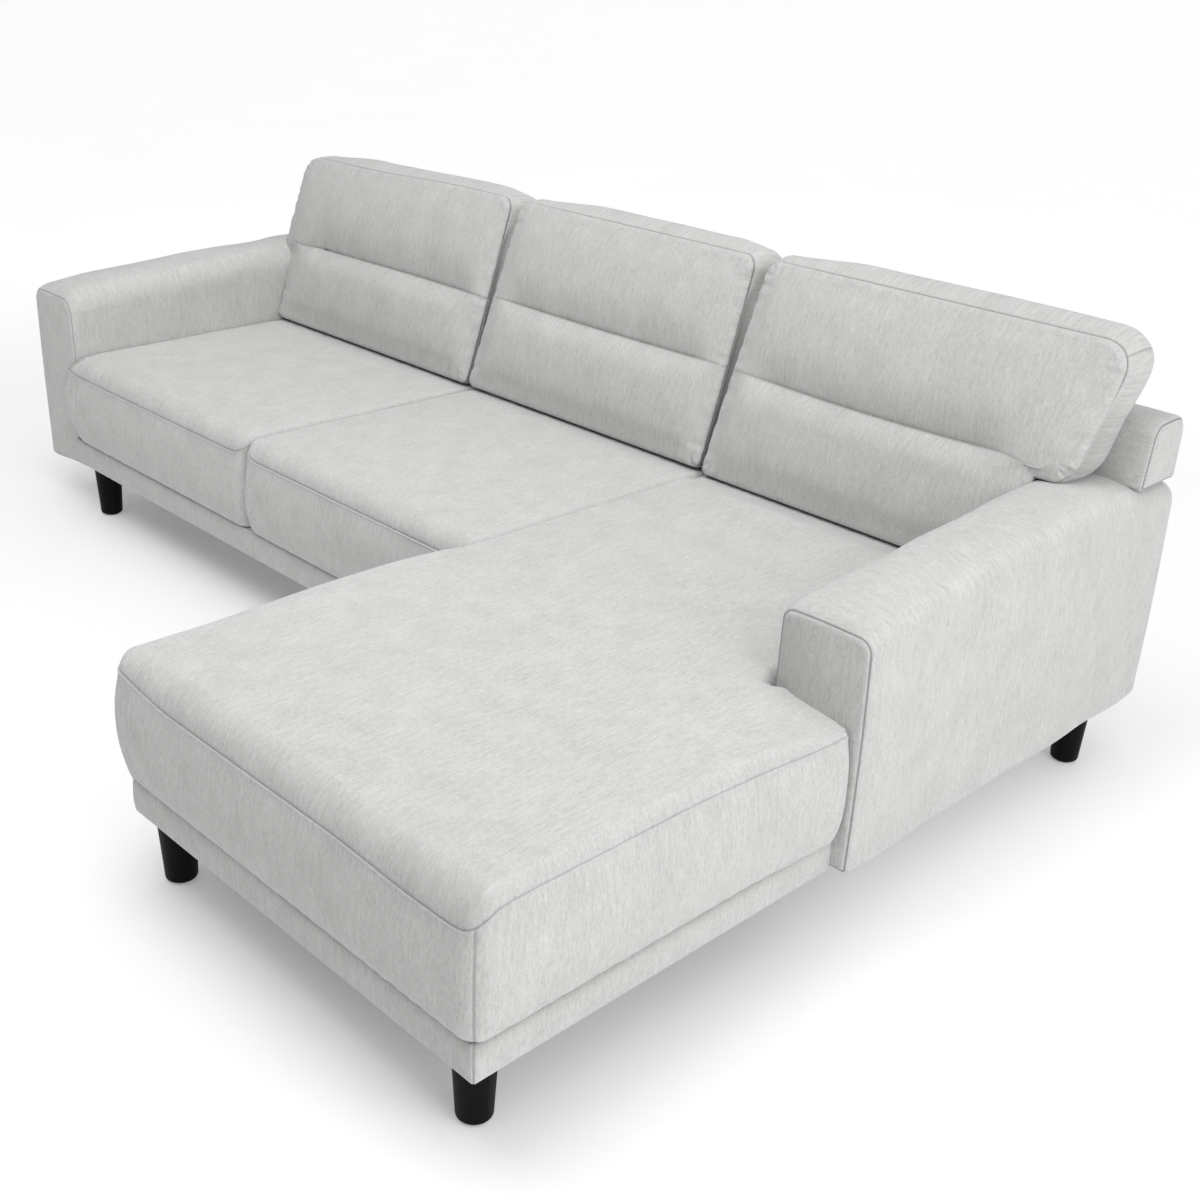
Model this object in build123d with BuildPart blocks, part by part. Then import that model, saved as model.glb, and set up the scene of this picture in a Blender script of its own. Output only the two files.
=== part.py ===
from build123d import *
import os
from math import tan, radians, sin, cos

# Corner sofa: a two-seat module with the left arm and a chaise module with the right arm,
# bolted together. Millimetres, +Z up, front towards -Y, chaise on the +X side.
# The origin is the middle of the footprint, on the floor.

# ---------------------------------------------------------------- driving dimensions
half_width = 1325.0        # outer face of each arm
y_front = -853.0           # front of the chaise cushion
y_rear = 853.0             # rear face of the arms
leg_height = 130.0         # floor to underside of the plinth
plinth_top = 194.0
overhang = 6.0             # seat cushions stand proud of the plinth
arm_thick = 165.0
arm_top = 556.0            # at the front; the padding rises towards the back
arm_front = -102.0
x_arm = half_width - arm_thick          # inner face of each arm
x_gap_seats = -353.0       # gap between the two seat cushions
x_module = 430.0           # seat module ends here
x_chaise = 434.0           # chaise module starts here
x_chaise_right = 1307.0    # chaise plinth, right side
y_plinth = -121.0          # seat plinth, front face
y_chaise = y_front + overhang           # chaise plinth, front face
y_shoulder = -106.0        # chaise plinth ends here, in front of the right arm
seat_bottom = 196.0
seat_top = 412.0
seat_rear = 655.0

# low back: its front face leans back
lean = 8.0
back_y0, back_z0 = 714.0, 589.0
back_top = 713.0
back_split = 590.0         # lower part between the arms, upper part over the arms
back_rear = 848.0
pad_back = 45.0            # thickness of the padding on the front of the back

# loose back cushions
cushion_bottom = 414.0
cushion_tuck = 630.0       # sewn tuck across the front
cushion_top = 868.0
cushion_left_end = -1214.0
cushion_right_end = 1262.0
cushion_gap = 3.0

# timber, webbing, fixings
ply = 20.0
cover = 6.0                # padded fabric over the plinth
rail_bottom, rail_top = 132.0, 190.0
strap_w, strap_t = 70.0, 2.4   # elastic webbing
bolt = 8.0
leg_r_top, leg_r_bottom = 34.0, 27.0
glide_h = 3.0
plate_t = 2.5
sheet_bottom = 130.4       # underside of the dust cover


def back_face(z):
    """Front face of the low back at height z."""
    return back_y0 + (z - back_z0) * tan(radians(lean))


os.makedirs("parts", exist_ok=True)

# leg centres: three under the seat module, three under the chaise, one under each arm
leg_points = [
    (-1094.0, -83.0), (372.0, -76.0), (372.0, 630.0),
    (487.0, -800.0), (1243.0, -790.0), (494.0, 630.0),
    (-1268.0, 728.0), (1268.0, 728.0),
]

# ---------------------------------------------------------------- legs and their fixings
leg_top = sheet_bottom - plate_t
with BuildPart() as legs:
    with Locations(*[(x, y, glide_h) for x, y in leg_points]):
        Cone(leg_r_bottom, leg_r_top, leg_top - glide_h,
             align=(Align.CENTER, Align.CENTER, Align.MIN))
    fillet(legs.edges().filter_by(GeomType.CIRCLE).group_by(Axis.Z)[0], 6.0)
    with Locations(*[(x, y, leg_top) for x, y in leg_points]):
        Hole(bolt / 2 + 0.15, 31.0)

with BuildPart() as leg_glides:
    with BuildSketch(Plane.XY):
        with Locations(*leg_points):
            Circle(19.0)
    extrude(amount=glide_h)

with BuildPart() as leg_plates:
    with BuildSketch(Plane.XY.offset(leg_top)):
        with Locations(*leg_points):
            RectangleRounded(52.0, 52.0, 6.0)
            Circle(bolt / 2 + 0.5, mode=Mode.SUBTRACT)
    extrude(amount=plate_t)

with BuildPart() as leg_studs:
    with BuildSketch(Plane.XY.offset(leg_top - 30.0)):
        with Locations(*leg_points):
            Circle(bolt / 2)
    extrude(amount=72.0)
    chamfer(leg_studs.edges().filter_by(GeomType.CIRCLE), 0.8)

# blocks in the frame corners that take the leg studs
with BuildPart() as corner_blocks:
    with BuildSketch(Plane.XY.offset(rail_bottom)):
        for x0, x1, y0, y1 in (
            (-1138, -1058, -95, -15), (328, 408, -95, -15), (328, 408, 590, 670),
            (460, 540, -821, -741), (1201, 1281, -821, -741), (460, 540, 590, 670),
            (-1311, -1192, 685, 785), (1192, 1311, 685, 785),
        ):
            with Locations(((x0 + x1) / 2, (y0 + y1) / 2)):
                Rectangle(x1 - x0, y1 - y0)
    extrude(amount=rail_top - rail_bottom)
    with Locations(*[(x, y, rail_bottom) for x, y in leg_points]):
        Cylinder(bolt / 2 + 0.15, 40.0, align=(Align.CENTER, Align.CENTER, Align.MIN),
                 mode=Mode.SUBTRACT)

# ---------------------------------------------------------------- seat module: base frame
rail_h = rail_top - rail_bottom
seat_x0, seat_x1 = -x_arm + 2.0, x_module - 2.0
seat_y0 = y_plinth + cover
rear_y0, rear_y1 = 670.0, 690.0
arm_bolt_y = (50.0, 330.0, 600.0)
bolt_z = 160.0
post_x_left = (-1100.0, -300.0, 300.0)
post_x_right = (580.0, 1100.0)
post_w = 25.0

with BuildPart() as seat_front_rail:
    with BuildSketch(Plane.XY.offset(rail_bottom)):
        with Locations(((seat_x0 + seat_x1) / 2, seat_y0 + ply / 2)):
            Rectangle(seat_x1 - seat_x0, ply)
    extrude(amount=rail_h)

with BuildPart() as seat_rear_rail:
    with BuildSketch(Plane.XY.offset(rail_bottom)):
        with Locations(((seat_x0 + seat_x1) / 2, (rear_y0 + rear_y1) / 2)):
            Rectangle(seat_x1 - seat_x0, ply)
    extrude(amount=rail_h)
    with BuildSketch(Plane.XZ.offset(-rear_y1)):
        with Locations(*[(x, bolt_z) for x in post_x_left]):
            Circle(bolt / 2 + 0.2)
    extrude(amount=ply, mode=Mode.SUBTRACT)

with BuildPart() as seat_side_rails:
    with BuildSketch(Plane.XY.offset(rail_bottom)):
        for xc in (seat_x0 + ply / 2, seat_x1 - ply / 2):
            with Locations((xc, (seat_y0 + ply + rear_y0) / 2)):
                Rectangle(ply, rear_y0 - seat_y0 - ply)
    extrude(amount=rail_h)
    with BuildSketch(Plane.YZ.offset(seat_x0)):
        with Locations(*[(y, bolt_z) for y in arm_bolt_y]):
            Circle(bolt / 2 + 0.2)
    extrude(amount=ply, mode=Mode.SUBTRACT)

with BuildPart() as seat_centre_rail:
    with BuildSketch(Plane.XY.offset(rail_bottom)):
        with Locations((x_gap_seats, (seat_y0 + ply + rear_y0) / 2)):
            Rectangle(ply, rear_y0 - seat_y0 - ply)
    extrude(amount=rail_h)

# ---------------------------------------------------------------- chaise module: base frame
ch_x0, ch_x1 = x_chaise + cover, x_chaise_right - cover
ch_y0 = y_chaise + cover
ch_arm_x = x_arm - 2.0

with BuildPart() as chaise_front_rail:
    with BuildSketch(Plane.XY.offset(rail_bottom)):
        with Locations(((ch_x0 + ch_x1) / 2, ch_y0 + ply / 2)):
            Rectangle(ch_x1 - ch_x0, ply)
    extrude(amount=rail_h)

with BuildPart() as chaise_rear_rail:
    with BuildSketch(Plane.XY.offset(rail_bottom)):
        with Locations(((ch_x0 + ch_arm_x) / 2, (rear_y0 + rear_y1) / 2)):
            Rectangle(ch_arm_x - ch_x0, ply)
    extrude(amount=rail_h)
    with BuildSketch(Plane.XZ.offset(-rear_y1)):
        with Locations(*[(x, bolt_z) for x in post_x_right]):
            Circle(bolt / 2 + 0.2)
    extrude(amount=ply, mode=Mode.SUBTRACT)

# left side, right side of the front part, right side beside the arm
with BuildPart() as chaise_side_rails:
    with BuildSketch(Plane.XY.offset(rail_bottom)):
        for x0, y0, y1 in (
            (ch_x0, ch_y0 + ply, rear_y0),
            (ch_x1 - ply, ch_y0 + ply, y_shoulder - ply),
            (ch_arm_x - ply, y_shoulder, rear_y0),
        ):
            with Locations((x0 + ply / 2, (y0 + y1) / 2)):
                Rectangle(ply, y1 - y0)
    extrude(amount=rail_h)
    with BuildSketch(Plane.YZ.offset(ch_arm_x - ply)):
        with Locations(*[(y, bolt_z) for y in arm_bolt_y]):
            Circle(bolt / 2 + 0.2)
    extrude(amount=ply, mode=Mode.SUBTRACT)

# shoulder rail in front of the arm, and a stiffener further back
with BuildPart() as chaise_cross_rails:
    with BuildSketch(Plane.XY.offset(rail_bottom)):
        for x1, yc in ((ch_x1, y_shoulder - ply / 2), (ch_arm_x - ply, 305.0)):
            with Locations(((ch_x0 + ply + x1) / 2, yc)):
                Rectangle(x1 - ch_x0 - ply, ply)
    extrude(amount=rail_h)

# flat plates under the two side rails hold the modules together
joint_y = (60.0, 520.0)
joint_x = ((seat_x1 - ply / 2), (ch_x0 + ply / 2))
with BuildPart() as joining_plates:
    with BuildSketch(Plane.XY.offset(leg_height - 3.1)):
        for y in joint_y:
            with Locations((sum(joint_x) / 2, y)):
                RectangleRounded(60.0, 90.0, 6.0)
        with Locations(*[(x, y + d) for x in joint_x for y in joint_y for d in (-28.0, 28.0)]):
            Circle(2.9, mode=Mode.SUBTRACT)
    extrude(amount=3.0)

with BuildPart() as joining_screws:
    with BuildSketch(Plane.XY.offset(leg_height - 3.1)):
        with Locations(*[(x, y + d) for x in joint_x for y in joint_y for d in (-28.0, 28.0)]):
            Circle(2.5)
    extrude(amount=33.4)
    with BuildSketch(Plane.XY.offset(leg_height - 3.1)):
        with Locations(*[(x, y + d) for x in joint_x for y in joint_y for d in (-28.0, 28.0)]):
            Circle(5.0)
    extrude(amount=-3.0)

# ---------------------------------------------------------------- elastic webbing under the cushions
# bands stretched from rail to rail, with a second layer across them; steel strips clamp the ends
strap_x = [-1068.0 + 155.0 * i for i in range(5)] + [-283.0 + 155.0 * i for i in range(5)]
cross_y = (60.0, 260.0, 460.0)
with BuildPart() as seat_webbing:
    with BuildSketch(Plane.XY.offset(rail_top)):
        for x in strap_x:
            with Locations((x, (seat_y0 + rear_y1) / 2)):
                Rectangle(strap_w, rear_y1 - seat_y0)
    extrude(amount=strap_t)
    with BuildSketch(Plane.XY.offset(rail_top + strap_t + 0.2)):
        for y in cross_y:
            with Locations(((seat_x0 + seat_x1) / 2, y)):
                Rectangle(seat_x1 - seat_x0, strap_w)
    extrude(amount=strap_t)

long_y = (-755.0, -645.0, -535.0, -425.0, -315.0, -205.0)
short_y = (-30.0, 85.0, 200.0, 400.0, 515.0, 620.0)
run_x = (560.0, 760.0, 960.0)
with BuildPart() as chaise_webbing:
    with BuildSketch(Plane.XY.offset(rail_top)):
        for y in long_y:
            with Locations(((ch_x0 + ch_x1) / 2, y)):
                Rectangle(ch_x1 - ch_x0, strap_w)
        for y in short_y:
            with Locations(((ch_x0 + ch_arm_x) / 2, y)):
                Rectangle(ch_arm_x - ch_x0, strap_w)
    extrude(amount=strap_t)
    with BuildSketch(Plane.XY.offset(rail_top + strap_t + 0.2)):
        for x in run_x:
            with Locations((x, (ch_y0 + rear_y1) / 2)):
                Rectangle(strap_w, rear_y1 - ch_y0)
    extrude(amount=strap_t)

with BuildPart() as webbing_clips:
    with BuildSketch(Plane.XY.offset(rail_top + strap_t)):
        for x in strap_x:
            with Locations((x, seat_y0 + ply / 2), (x, rear_y1 - ply / 2)):
                Rectangle(strap_w - 6.0, 12.0)
        for y in long_y:
            with Locations((ch_x0 + ply / 2, y), (ch_x1 - ply / 2, y)):
                Rectangle(12.0, strap_w - 6.0)
        for y in short_y:
            with Locations((ch_x0 + ply / 2, y), (ch_arm_x - ply / 2, y)):
                Rectangle(12.0, strap_w - 6.0)
    extrude(amount=1.2)

# ---------------------------------------------------------------- dust covers and plinth covers
arm_skin, arm_front_pad, arm_rear_pad, arm_top_pad = 12.0, 20.0, 10.0, 26.0
frame_rear = back_rear - 14.0

with BuildPart() as dust_covers:
    with BuildSketch(Plane.XY.offset(sheet_bottom)):
        for x0, x1, y0, y1 in (
            (seat_x0, seat_x1, seat_y0 + 0.5, frame_rear),
            (ch_x0 + 0.5, ch_x1 - 0.5, ch_y0 + 0.5, y_shoulder),
            (ch_x0 + 0.5, ch_arm_x, y_shoulder + 0.5, frame_rear),
            (x_arm + arm_skin + 1, half_width - arm_skin - 1, arm_front + arm_front_pad + 1, y_rear - arm_rear_pad - 1),
            (-half_width + arm_skin + 1, -x_arm - arm_skin - 1, arm_front + arm_front_pad + 1, y_rear - arm_rear_pad - 1),
        ):
            with Locations(((x0 + x1) / 2, (y0 + y1) / 2)):
                Rectangle(x1 - x0, y1 - y0)
    extrude(amount=rail_bottom - sheet_bottom)

plinth_h = plinth_top - leg_height
with BuildPart() as seat_plinth_cover:
    with BuildSketch(Plane.YZ.offset(-x_arm)):
        with Locations((y_plinth + cover / 2, leg_height + plinth_h / 2)):
            RectangleRounded(cover, plinth_h, 2.5)
    extrude(amount=x_module + x_arm)

with BuildPart() as chaise_plinth_front:
    with BuildSketch(Plane.YZ.offset(x_chaise)):
        with Locations((y_chaise + cover / 2, leg_height + plinth_h / 2)):
            RectangleRounded(cover, plinth_h, 2.5)
    extrude(amount=x_chaise_right - x_chaise)

with BuildPart() as chaise_plinth_left:
    with BuildSketch(Plane.XZ.offset(-ch_y0)):
        with Locations((x_chaise + cover / 2, leg_height + plinth_h / 2)):
            RectangleRounded(cover, plinth_h, 2.5)
    extrude(amount=-(rear_y1 - ch_y0))

with BuildPart() as chaise_plinth_right:
    with BuildSketch(Plane.XZ.offset(-ch_y0)):
        with Locations((x_chaise_right - cover / 2, leg_height + plinth_h / 2)):
            RectangleRounded(cover, plinth_h, 2.5)
    extrude(amount=-(y_shoulder - ch_y0))

# ---------------------------------------------------------------- arms: timber
in0, in1 = x_arm + arm_skin, half_width - arm_skin        # clear width inside an arm
yf, yr = arm_front + arm_front_pad, y_rear - arm_rear_pad  # clear depth inside an arm
top_in = arm_top - arm_top_pad

# a plywood board behind the front panel and one in front of the rear panel, in each arm
with BuildPart() as arm_posts:
    for s in (-1, 1):
        with BuildSketch(Plane.XZ.offset(-yf)):
            with Locations((s * (in0 + in1) / 2, (rail_bottom + top_in) / 2)):
                Rectangle(in1 - in0 - 2.0, top_in - rail_bottom - 2.0)
        extrude(amount=-ply)
        with BuildSketch(Plane.XZ.offset(-yr)):
            with Locations((s * (in0 + in1) / 2, (rail_bottom + top_in) / 2)):
                Rectangle(in1 - in0 - 2.0, top_in - rail_bottom - 2.0)
        extrude(amount=ply)

# a top rail under the arm pad and a bottom rail against the base frame, in each arm
with BuildPart() as arm_rails:
    for s in (-1, 1):
        with BuildSketch(Plane.XZ.offset(-yf - ply)):
            with Locations((s * (in0 + in1) / 2, top_in - 1.0 - ply / 2)):
                Rectangle(90.0, ply)
            with Locations((s * (in0 + ply / 2), rail_bottom + rail_h / 2)):
                Rectangle(ply, rail_h)
        extrude(amount=-(yr - yf - 2 * ply))
        with BuildSketch(Plane.YZ.offset(s * in0)):
            with Locations(*[(y, bolt_z) for y in arm_bolt_y]):
                Circle(bolt / 2 + 0.2)
        extrude(amount=s * ply, mode=Mode.SUBTRACT)

# bolts that hold the arms to the base frames: round head inside the base, nut inside the arm
with BuildPart() as arm_bolts:
    for s in (-1, 1):
        with BuildSketch(Plane.YZ.offset(s * (ch_arm_x - ply))):
            with Locations(*[(y, bolt_z) for y in arm_bolt_y]):
                Circle(bolt / 2)
        extrude(amount=s * (in0 + ply + 8.0 - ch_arm_x + ply))
        with BuildSketch(Plane.YZ.offset(s * (ch_arm_x - ply))):
            with Locations(*[(y, bolt_z) for y in arm_bolt_y]):
                Circle(9.0)
        extrude(amount=-s * 4.5)
        with BuildSketch(Plane.YZ.offset(s * (in0 + ply))):
            with Locations(*[(y, bolt_z) for y in arm_bolt_y]):
                RegularPolygon(7.5, 6)
        extrude(amount=s * 6.5)

# ---------------------------------------------------------------- arms: padded panels
with BuildPart() as left_arm_front_panel:
    with BuildSketch(Plane.XZ.offset(-arm_front)):
        with Locations((-half_width + arm_thick / 2, (leg_height + arm_top) / 2)):
            Rectangle(arm_thick, arm_top - leg_height)
    extrude(amount=-arm_front_pad)
    fillet(left_arm_front_panel.edges().filter_by(Axis.Y).group_by(Axis.Z)[-1], 28.0)

with BuildPart() as right_arm_front_panel:
    with BuildSketch(Plane.XZ.offset(-arm_front)):
        with Locations((half_width - arm_thick / 2, (leg_height + arm_top) / 2)):
            Rectangle(arm_thick, arm_top - leg_height)
    extrude(amount=-arm_front_pad)
    fillet(right_arm_front_panel.edges().filter_by(Axis.Y).group_by(Axis.Z)[-1], 28.0)

# the top pad is thickest in front of the back cushions and falls away behind them
arm_rise = [(yf, arm_top), (100.0, 563.0), (300.0, 574.0), (480.0, 584.0), (600.0, 588.0), (700.0, 584.0), (yr, 562.0)]
with BuildPart() as left_arm_top_panel:
    with BuildSketch(Plane.YZ.offset(-half_width)):
        with BuildLine():
            Spline(*arm_rise)
            Polyline(arm_rise[-1], (yr, top_in), (yf, top_in), arm_rise[0])
        make_face()
    extrude(amount=arm_thick)
    fillet(left_arm_top_panel.edges().filter_by(GeomType.BSPLINE), 22.0)

with BuildPart() as right_arm_top_panel:
    with BuildSketch(Plane.YZ.offset(x_arm)):
        with BuildLine():
            Spline(*arm_rise)
            Polyline(arm_rise[-1], (yr, top_in), (yf, top_in), arm_rise[0])
        make_face()
    extrude(amount=arm_thick)
    fillet(right_arm_top_panel.edges().filter_by(GeomType.BSPLINE), 22.0)

with BuildPart() as left_arm_outer_panel:
    with BuildSketch(Plane.YZ.offset(-half_width)):
        with Locations(((yf + yr) / 2, (leg_height + top_in) / 2)):
            Rectangle(yr - yf, top_in - leg_height)
    extrude(amount=arm_skin)

with BuildPart() as right_arm_outer_panel:
    with BuildSketch(Plane.YZ.offset(half_width)):
        with Locations(((yf + yr) / 2, (leg_height + top_in) / 2)):
            Rectangle(yr - yf, top_in - leg_height)
    extrude(amount=-arm_skin)

with BuildPart() as left_arm_inner_panel:
    with BuildSketch(Plane.YZ.offset(-x_arm)):
        with Locations(((yf + yr) / 2, (leg_height + top_in) / 2)):
            Rectangle(yr - yf, top_in - leg_height)
        with Locations(*[(y, bolt_z) for y in arm_bolt_y]):
            Circle(bolt / 2 + 0.2, mode=Mode.SUBTRACT)
    extrude(amount=-arm_skin)

with BuildPart() as right_arm_inner_panel:
    with BuildSketch(Plane.YZ.offset(x_arm)):
        with Locations(((yf + yr) / 2, (leg_height + top_in) / 2)):
            Rectangle(yr - yf, top_in - leg_height)
        with Locations(*[(y, bolt_z) for y in arm_bolt_y]):
            Circle(bolt / 2 + 0.2, mode=Mode.SUBTRACT)
    extrude(amount=arm_skin)

with BuildPart() as left_arm_rear_panel:
    with BuildSketch(Plane.XZ.offset(-y_rear)):
        with Locations((-half_width + arm_thick / 2, (leg_height + arm_top) / 2)):
            Rectangle(arm_thick, arm_top - leg_height)
    extrude(amount=arm_rear_pad)
    fillet(left_arm_rear_panel.edges().filter_by(Axis.Y).group_by(Axis.Z)[-1], 28.0)

with BuildPart() as right_arm_rear_panel:
    with BuildSketch(Plane.XZ.offset(-y_rear)):
        with Locations((half_width - arm_thick / 2, (leg_height + arm_top) / 2)):
            Rectangle(arm_thick, arm_top - leg_height)
    extrude(amount=arm_rear_pad)
    fillet(right_arm_rear_panel.edges().filter_by(Axis.Y).group_by(Axis.Z)[-1], 28.0)

# ---------------------------------------------------------------- low back: timber and webbing
post_top = 640.0
web_t = 2.0
back_pts = [
    (rear_y1, rail_bottom), (frame_rear, rail_bottom), (frame_rear, post_top),
    (back_face(post_top) + pad_back + 3.0, post_top),
    (back_face(205.0) + pad_back + 3.0, 205.0), (rear_y1, 205.0),
]
with BuildPart() as back_posts:
    for x in post_x_left + post_x_right:
        with BuildSketch(Plane.YZ.offset(x - post_w / 2)):
            with BuildLine():
                Polyline(*back_pts, close=True)
            make_face()
        extrude(amount=post_w)
        with BuildSketch(Plane.XZ.offset(-rear_y1)):
            with Locations((x, bolt_z)):
                Circle(bolt / 2 + 0.2)
        extrude(amount=-52.0, mode=Mode.SUBTRACT)

with BuildPart() as back_bolts:
    with BuildSketch(Plane.XZ.offset(-rear_y0)):
        with Locations(*[(x, bolt_z) for x in post_x_left + post_x_right]):
            Circle(bolt / 2)
    extrude(amount=-70.0)
    with BuildSketch(Plane.XZ.offset(-rear_y0)):
        with Locations(*[(x, bolt_z) for x in post_x_left + post_x_right]):
            Circle(9.0)
    extrude(amount=4.5)

rail_y0 = back_face(690.0) + pad_back + 3.0
with BuildPart() as back_top_rails:
    with BuildSketch(Plane.YZ.offset(-half_width + 13.0)):
        with Locations(((rail_y0 + frame_rear) / 2, (post_top + 689.0) / 2)):
            Rectangle(frame_rear - rail_y0, 689.0 - post_top)
    extrude(amount=half_width - 13.0 + seat_x1)
    with BuildSketch(Plane.YZ.offset(ch_x0)):
        with Locations(((rail_y0 + frame_rear) / 2, (post_top + 689.0) / 2)):
            Rectangle(frame_rear - rail_y0, 689.0 - post_top)
    extrude(amount=half_width - 13.0 - ch_x0)

# elastic bands across the front edges of the posts
band_z = (255.0, 345.0, 435.0, 525.0, 605.0)
with BuildPart() as back_webbing:
    for x0, x1 in ((-1112.0, 312.0), (568.0, 1112.0)):
        for z in band_z:
            band = Plane(origin=((x0 + x1) / 2, back_face(z) + pad_back + 1.6, z), x_dir=(1, 0, 0),
                         z_dir=(0, -cos(radians(lean)), sin(radians(lean))))
            with BuildSketch(band):
                Rectangle(x1 - x0, 56.0)
            extrude(amount=web_t / 2, both=True)

# ---------------------------------------------------------------- low back: padded panels
lower_pts = [(back_face(205.0), 205.0), (back_face(205.0) + pad_back, 205.0),
             (back_face(back_split - 1) + pad_back, back_split - 1), (back_face(back_split - 1), back_split - 1)]
upper_pts = [(back_face(back_split + 1), back_split + 1), (back_face(back_split + 1) + pad_back, back_split + 1),
             (back_face(690.0) + pad_back, 690.0), (back_face(690.0), 690.0)]
cap_pts = [(back_face(690.5), 690.5), (back_rear, 690.5), (back_rear, back_top), (back_face(back_top), back_top)]
end_pts = [(back_face(back_split + 1) + pad_back + 0.5, back_split + 1), (frame_rear + 0.5, back_split + 1),
           (frame_rear + 0.5, 690.0), (back_face(690.0) + pad_back + 0.5, 690.0)]

with BuildPart() as left_back_front_pad:
    with BuildSketch(Plane.YZ.offset(seat_x0)):
        with BuildLine():
            Polyline(*lower_pts, close=True)
        make_face()
    extrude(amount=seat_x1 - seat_x0)

with BuildPart() as right_back_front_pad:
    with BuildSketch(Plane.YZ.offset(x_chaise + 2.0)):
        with BuildLine():
            Polyline(*lower_pts, close=True)
        make_face()
    extrude(amount=ch_arm_x - x_chaise - 2.0)

with BuildPart() as left_back_upper_pad:
    with BuildSketch(Plane.YZ.offset(-half_width)):
        with BuildLine():
            Polyline(*upper_pts, close=True)
        make_face()
    extrude(amount=half_width + seat_x1)

with BuildPart() as right_back_upper_pad:
    with BuildSketch(Plane.YZ.offset(x_chaise + 2.0)):
        with BuildLine():
            Polyline(*upper_pts, close=True)
        make_face()
    extrude(amount=half_width - x_chaise - 2.0)

with BuildPart() as left_back_cap_pad:
    with BuildSketch(Plane.YZ.offset(-half_width)):
        with BuildLine():
            Polyline(*cap_pts, close=True)
        make_face()
    extrude(amount=half_width + seat_x1)
    fillet(left_back_cap_pad.edges().filter_by(Axis.X).group_by(Axis.Z)[-1], 16.0)

with BuildPart() as right_back_cap_pad:
    with BuildSketch(Plane.YZ.offset(x_chaise + 2.0)):
        with BuildLine():
            Polyline(*cap_pts, close=True)
        make_face()
    extrude(amount=half_width - x_chaise - 2.0)
    fillet(right_back_cap_pad.edges().filter_by(Axis.X).group_by(Axis.Z)[-1], 16.0)

with BuildPart() as back_end_pads:
    for s in (-1, 1):
        with BuildSketch(Plane.YZ.offset(s * half_width)):
            with BuildLine():
                Polyline(*end_pts, close=True)
            make_face()
        extrude(amount=-s * 12.0)

# rear lining: between the arms below, full width above them
with BuildPart() as left_back_rear_panel:
    with BuildSketch(Plane.XZ.offset(-back_rear)):
        with Locations(((seat_x0 + seat_x1) / 2, (rail_bottom + back_split - 1) / 2)):
            Rectangle(seat_x1 - seat_x0, back_split - 1 - rail_bottom)
        with Locations(((-half_width + seat_x1) / 2, (back_split + 1 + 690.0) / 2)):
            Rectangle(half_width + seat_x1, 690.0 - back_split - 1)
    extrude(amount=12.0)

with BuildPart() as right_back_rear_panel:
    with BuildSketch(Plane.XZ.offset(-back_rear)):
        with Locations(((x_chaise + 2.0 + ch_arm_x) / 2, (rail_bottom + back_split - 1) / 2)):
            Rectangle(ch_arm_x - x_chaise - 2.0, back_split - 1 - rail_bottom)
        with Locations(((x_chaise + 2.0 + half_width) / 2, (back_split + 1 + 690.0) / 2)):
            Rectangle(half_width - x_chaise - 2.0, 690.0 - back_split - 1)
    extrude(amount=12.0)

# ---------------------------------------------------------------- seat cushions
seat_front = y_plinth - overhang
seat_r = 24.0
with BuildPart() as left_seat_cushion:
    with BuildSketch(Plane.YZ.offset(-x_arm + cushion_gap)):
        with Locations(((seat_front + seat_rear) / 2, (seat_bottom + seat_top) / 2)):
            Rectangle(seat_rear - seat_front, seat_top - seat_bottom)
    extrude(amount=x_gap_seats + x_arm - 2 * cushion_gap)
    fillet(left_seat_cushion.edges().group_by(Axis.Z)[-1], seat_r)

with BuildPart() as middle_seat_cushion:
    with BuildSketch(Plane.YZ.offset(x_gap_seats + cushion_gap)):
        with Locations(((seat_front + seat_rear) / 2, (seat_bottom + seat_top) / 2)):
            Rectangle(seat_rear - seat_front, seat_top - seat_bottom)
    extrude(amount=x_module - x_gap_seats - 2 * cushion_gap)
    fillet(middle_seat_cushion.edges().group_by(Axis.Z)[-1], seat_r)

# the chaise cushion runs in front of the right arm
with BuildPart() as chaise_seat_cushion:
    with BuildSketch(Plane.XY.offset(seat_bottom)):
        with BuildLine():
            Polyline((x_module + cushion_gap, y_front), (x_chaise_right + overhang, y_front),
                     (x_chaise_right + overhang, y_shoulder), (x_arm - cushion_gap, y_shoulder),
                     (x_arm - cushion_gap, seat_rear), (x_module + cushion_gap, seat_rear), close=True)
        make_face()
    extrude(amount=seat_top - seat_bottom)
    fillet(chaise_seat_cushion.edges().group_by(Axis.Z)[-1], seat_r)

# ---------------------------------------------------------------- loose back cushions
# each cover holds two sewn chambers: a lower one between the arms, an upper one that spreads over them
rear_clear = 1.5
tuck_y = 599.0


def cushion_rear(z):
    return back_face(z) - rear_clear


with BuildPart() as left_back_cushion_lower:
    with BuildSketch(Plane.YZ.offset(-x_arm + cushion_gap)):
        with BuildLine():
            ThreePointArc((523.0, cushion_bottom), (543.0, 520.0), (tuck_y, cushion_tuck - 1))
            Polyline((tuck_y, cushion_tuck - 1), (cushion_rear(cushion_tuck - 1), cushion_tuck - 1),
                     (cushion_rear(cushion_bottom), cushion_bottom), (523.0, cushion_bottom))
        make_face()
    extrude(amount=x_gap_seats + x_arm - 2 * cushion_gap)

with BuildPart() as middle_back_cushion_lower:
    with BuildSketch(Plane.YZ.offset(x_gap_seats + cushion_gap)):
        with BuildLine():
            ThreePointArc((523.0, cushion_bottom), (543.0, 520.0), (tuck_y, cushion_tuck - 1))
            Polyline((tuck_y, cushion_tuck - 1), (cushion_rear(cushion_tuck - 1), cushion_tuck - 1),
                     (cushion_rear(cushion_bottom), cushion_bottom), (523.0, cushion_bottom))
        make_face()
    extrude(amount=x_module - x_gap_seats - 2 * cushion_gap)

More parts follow.
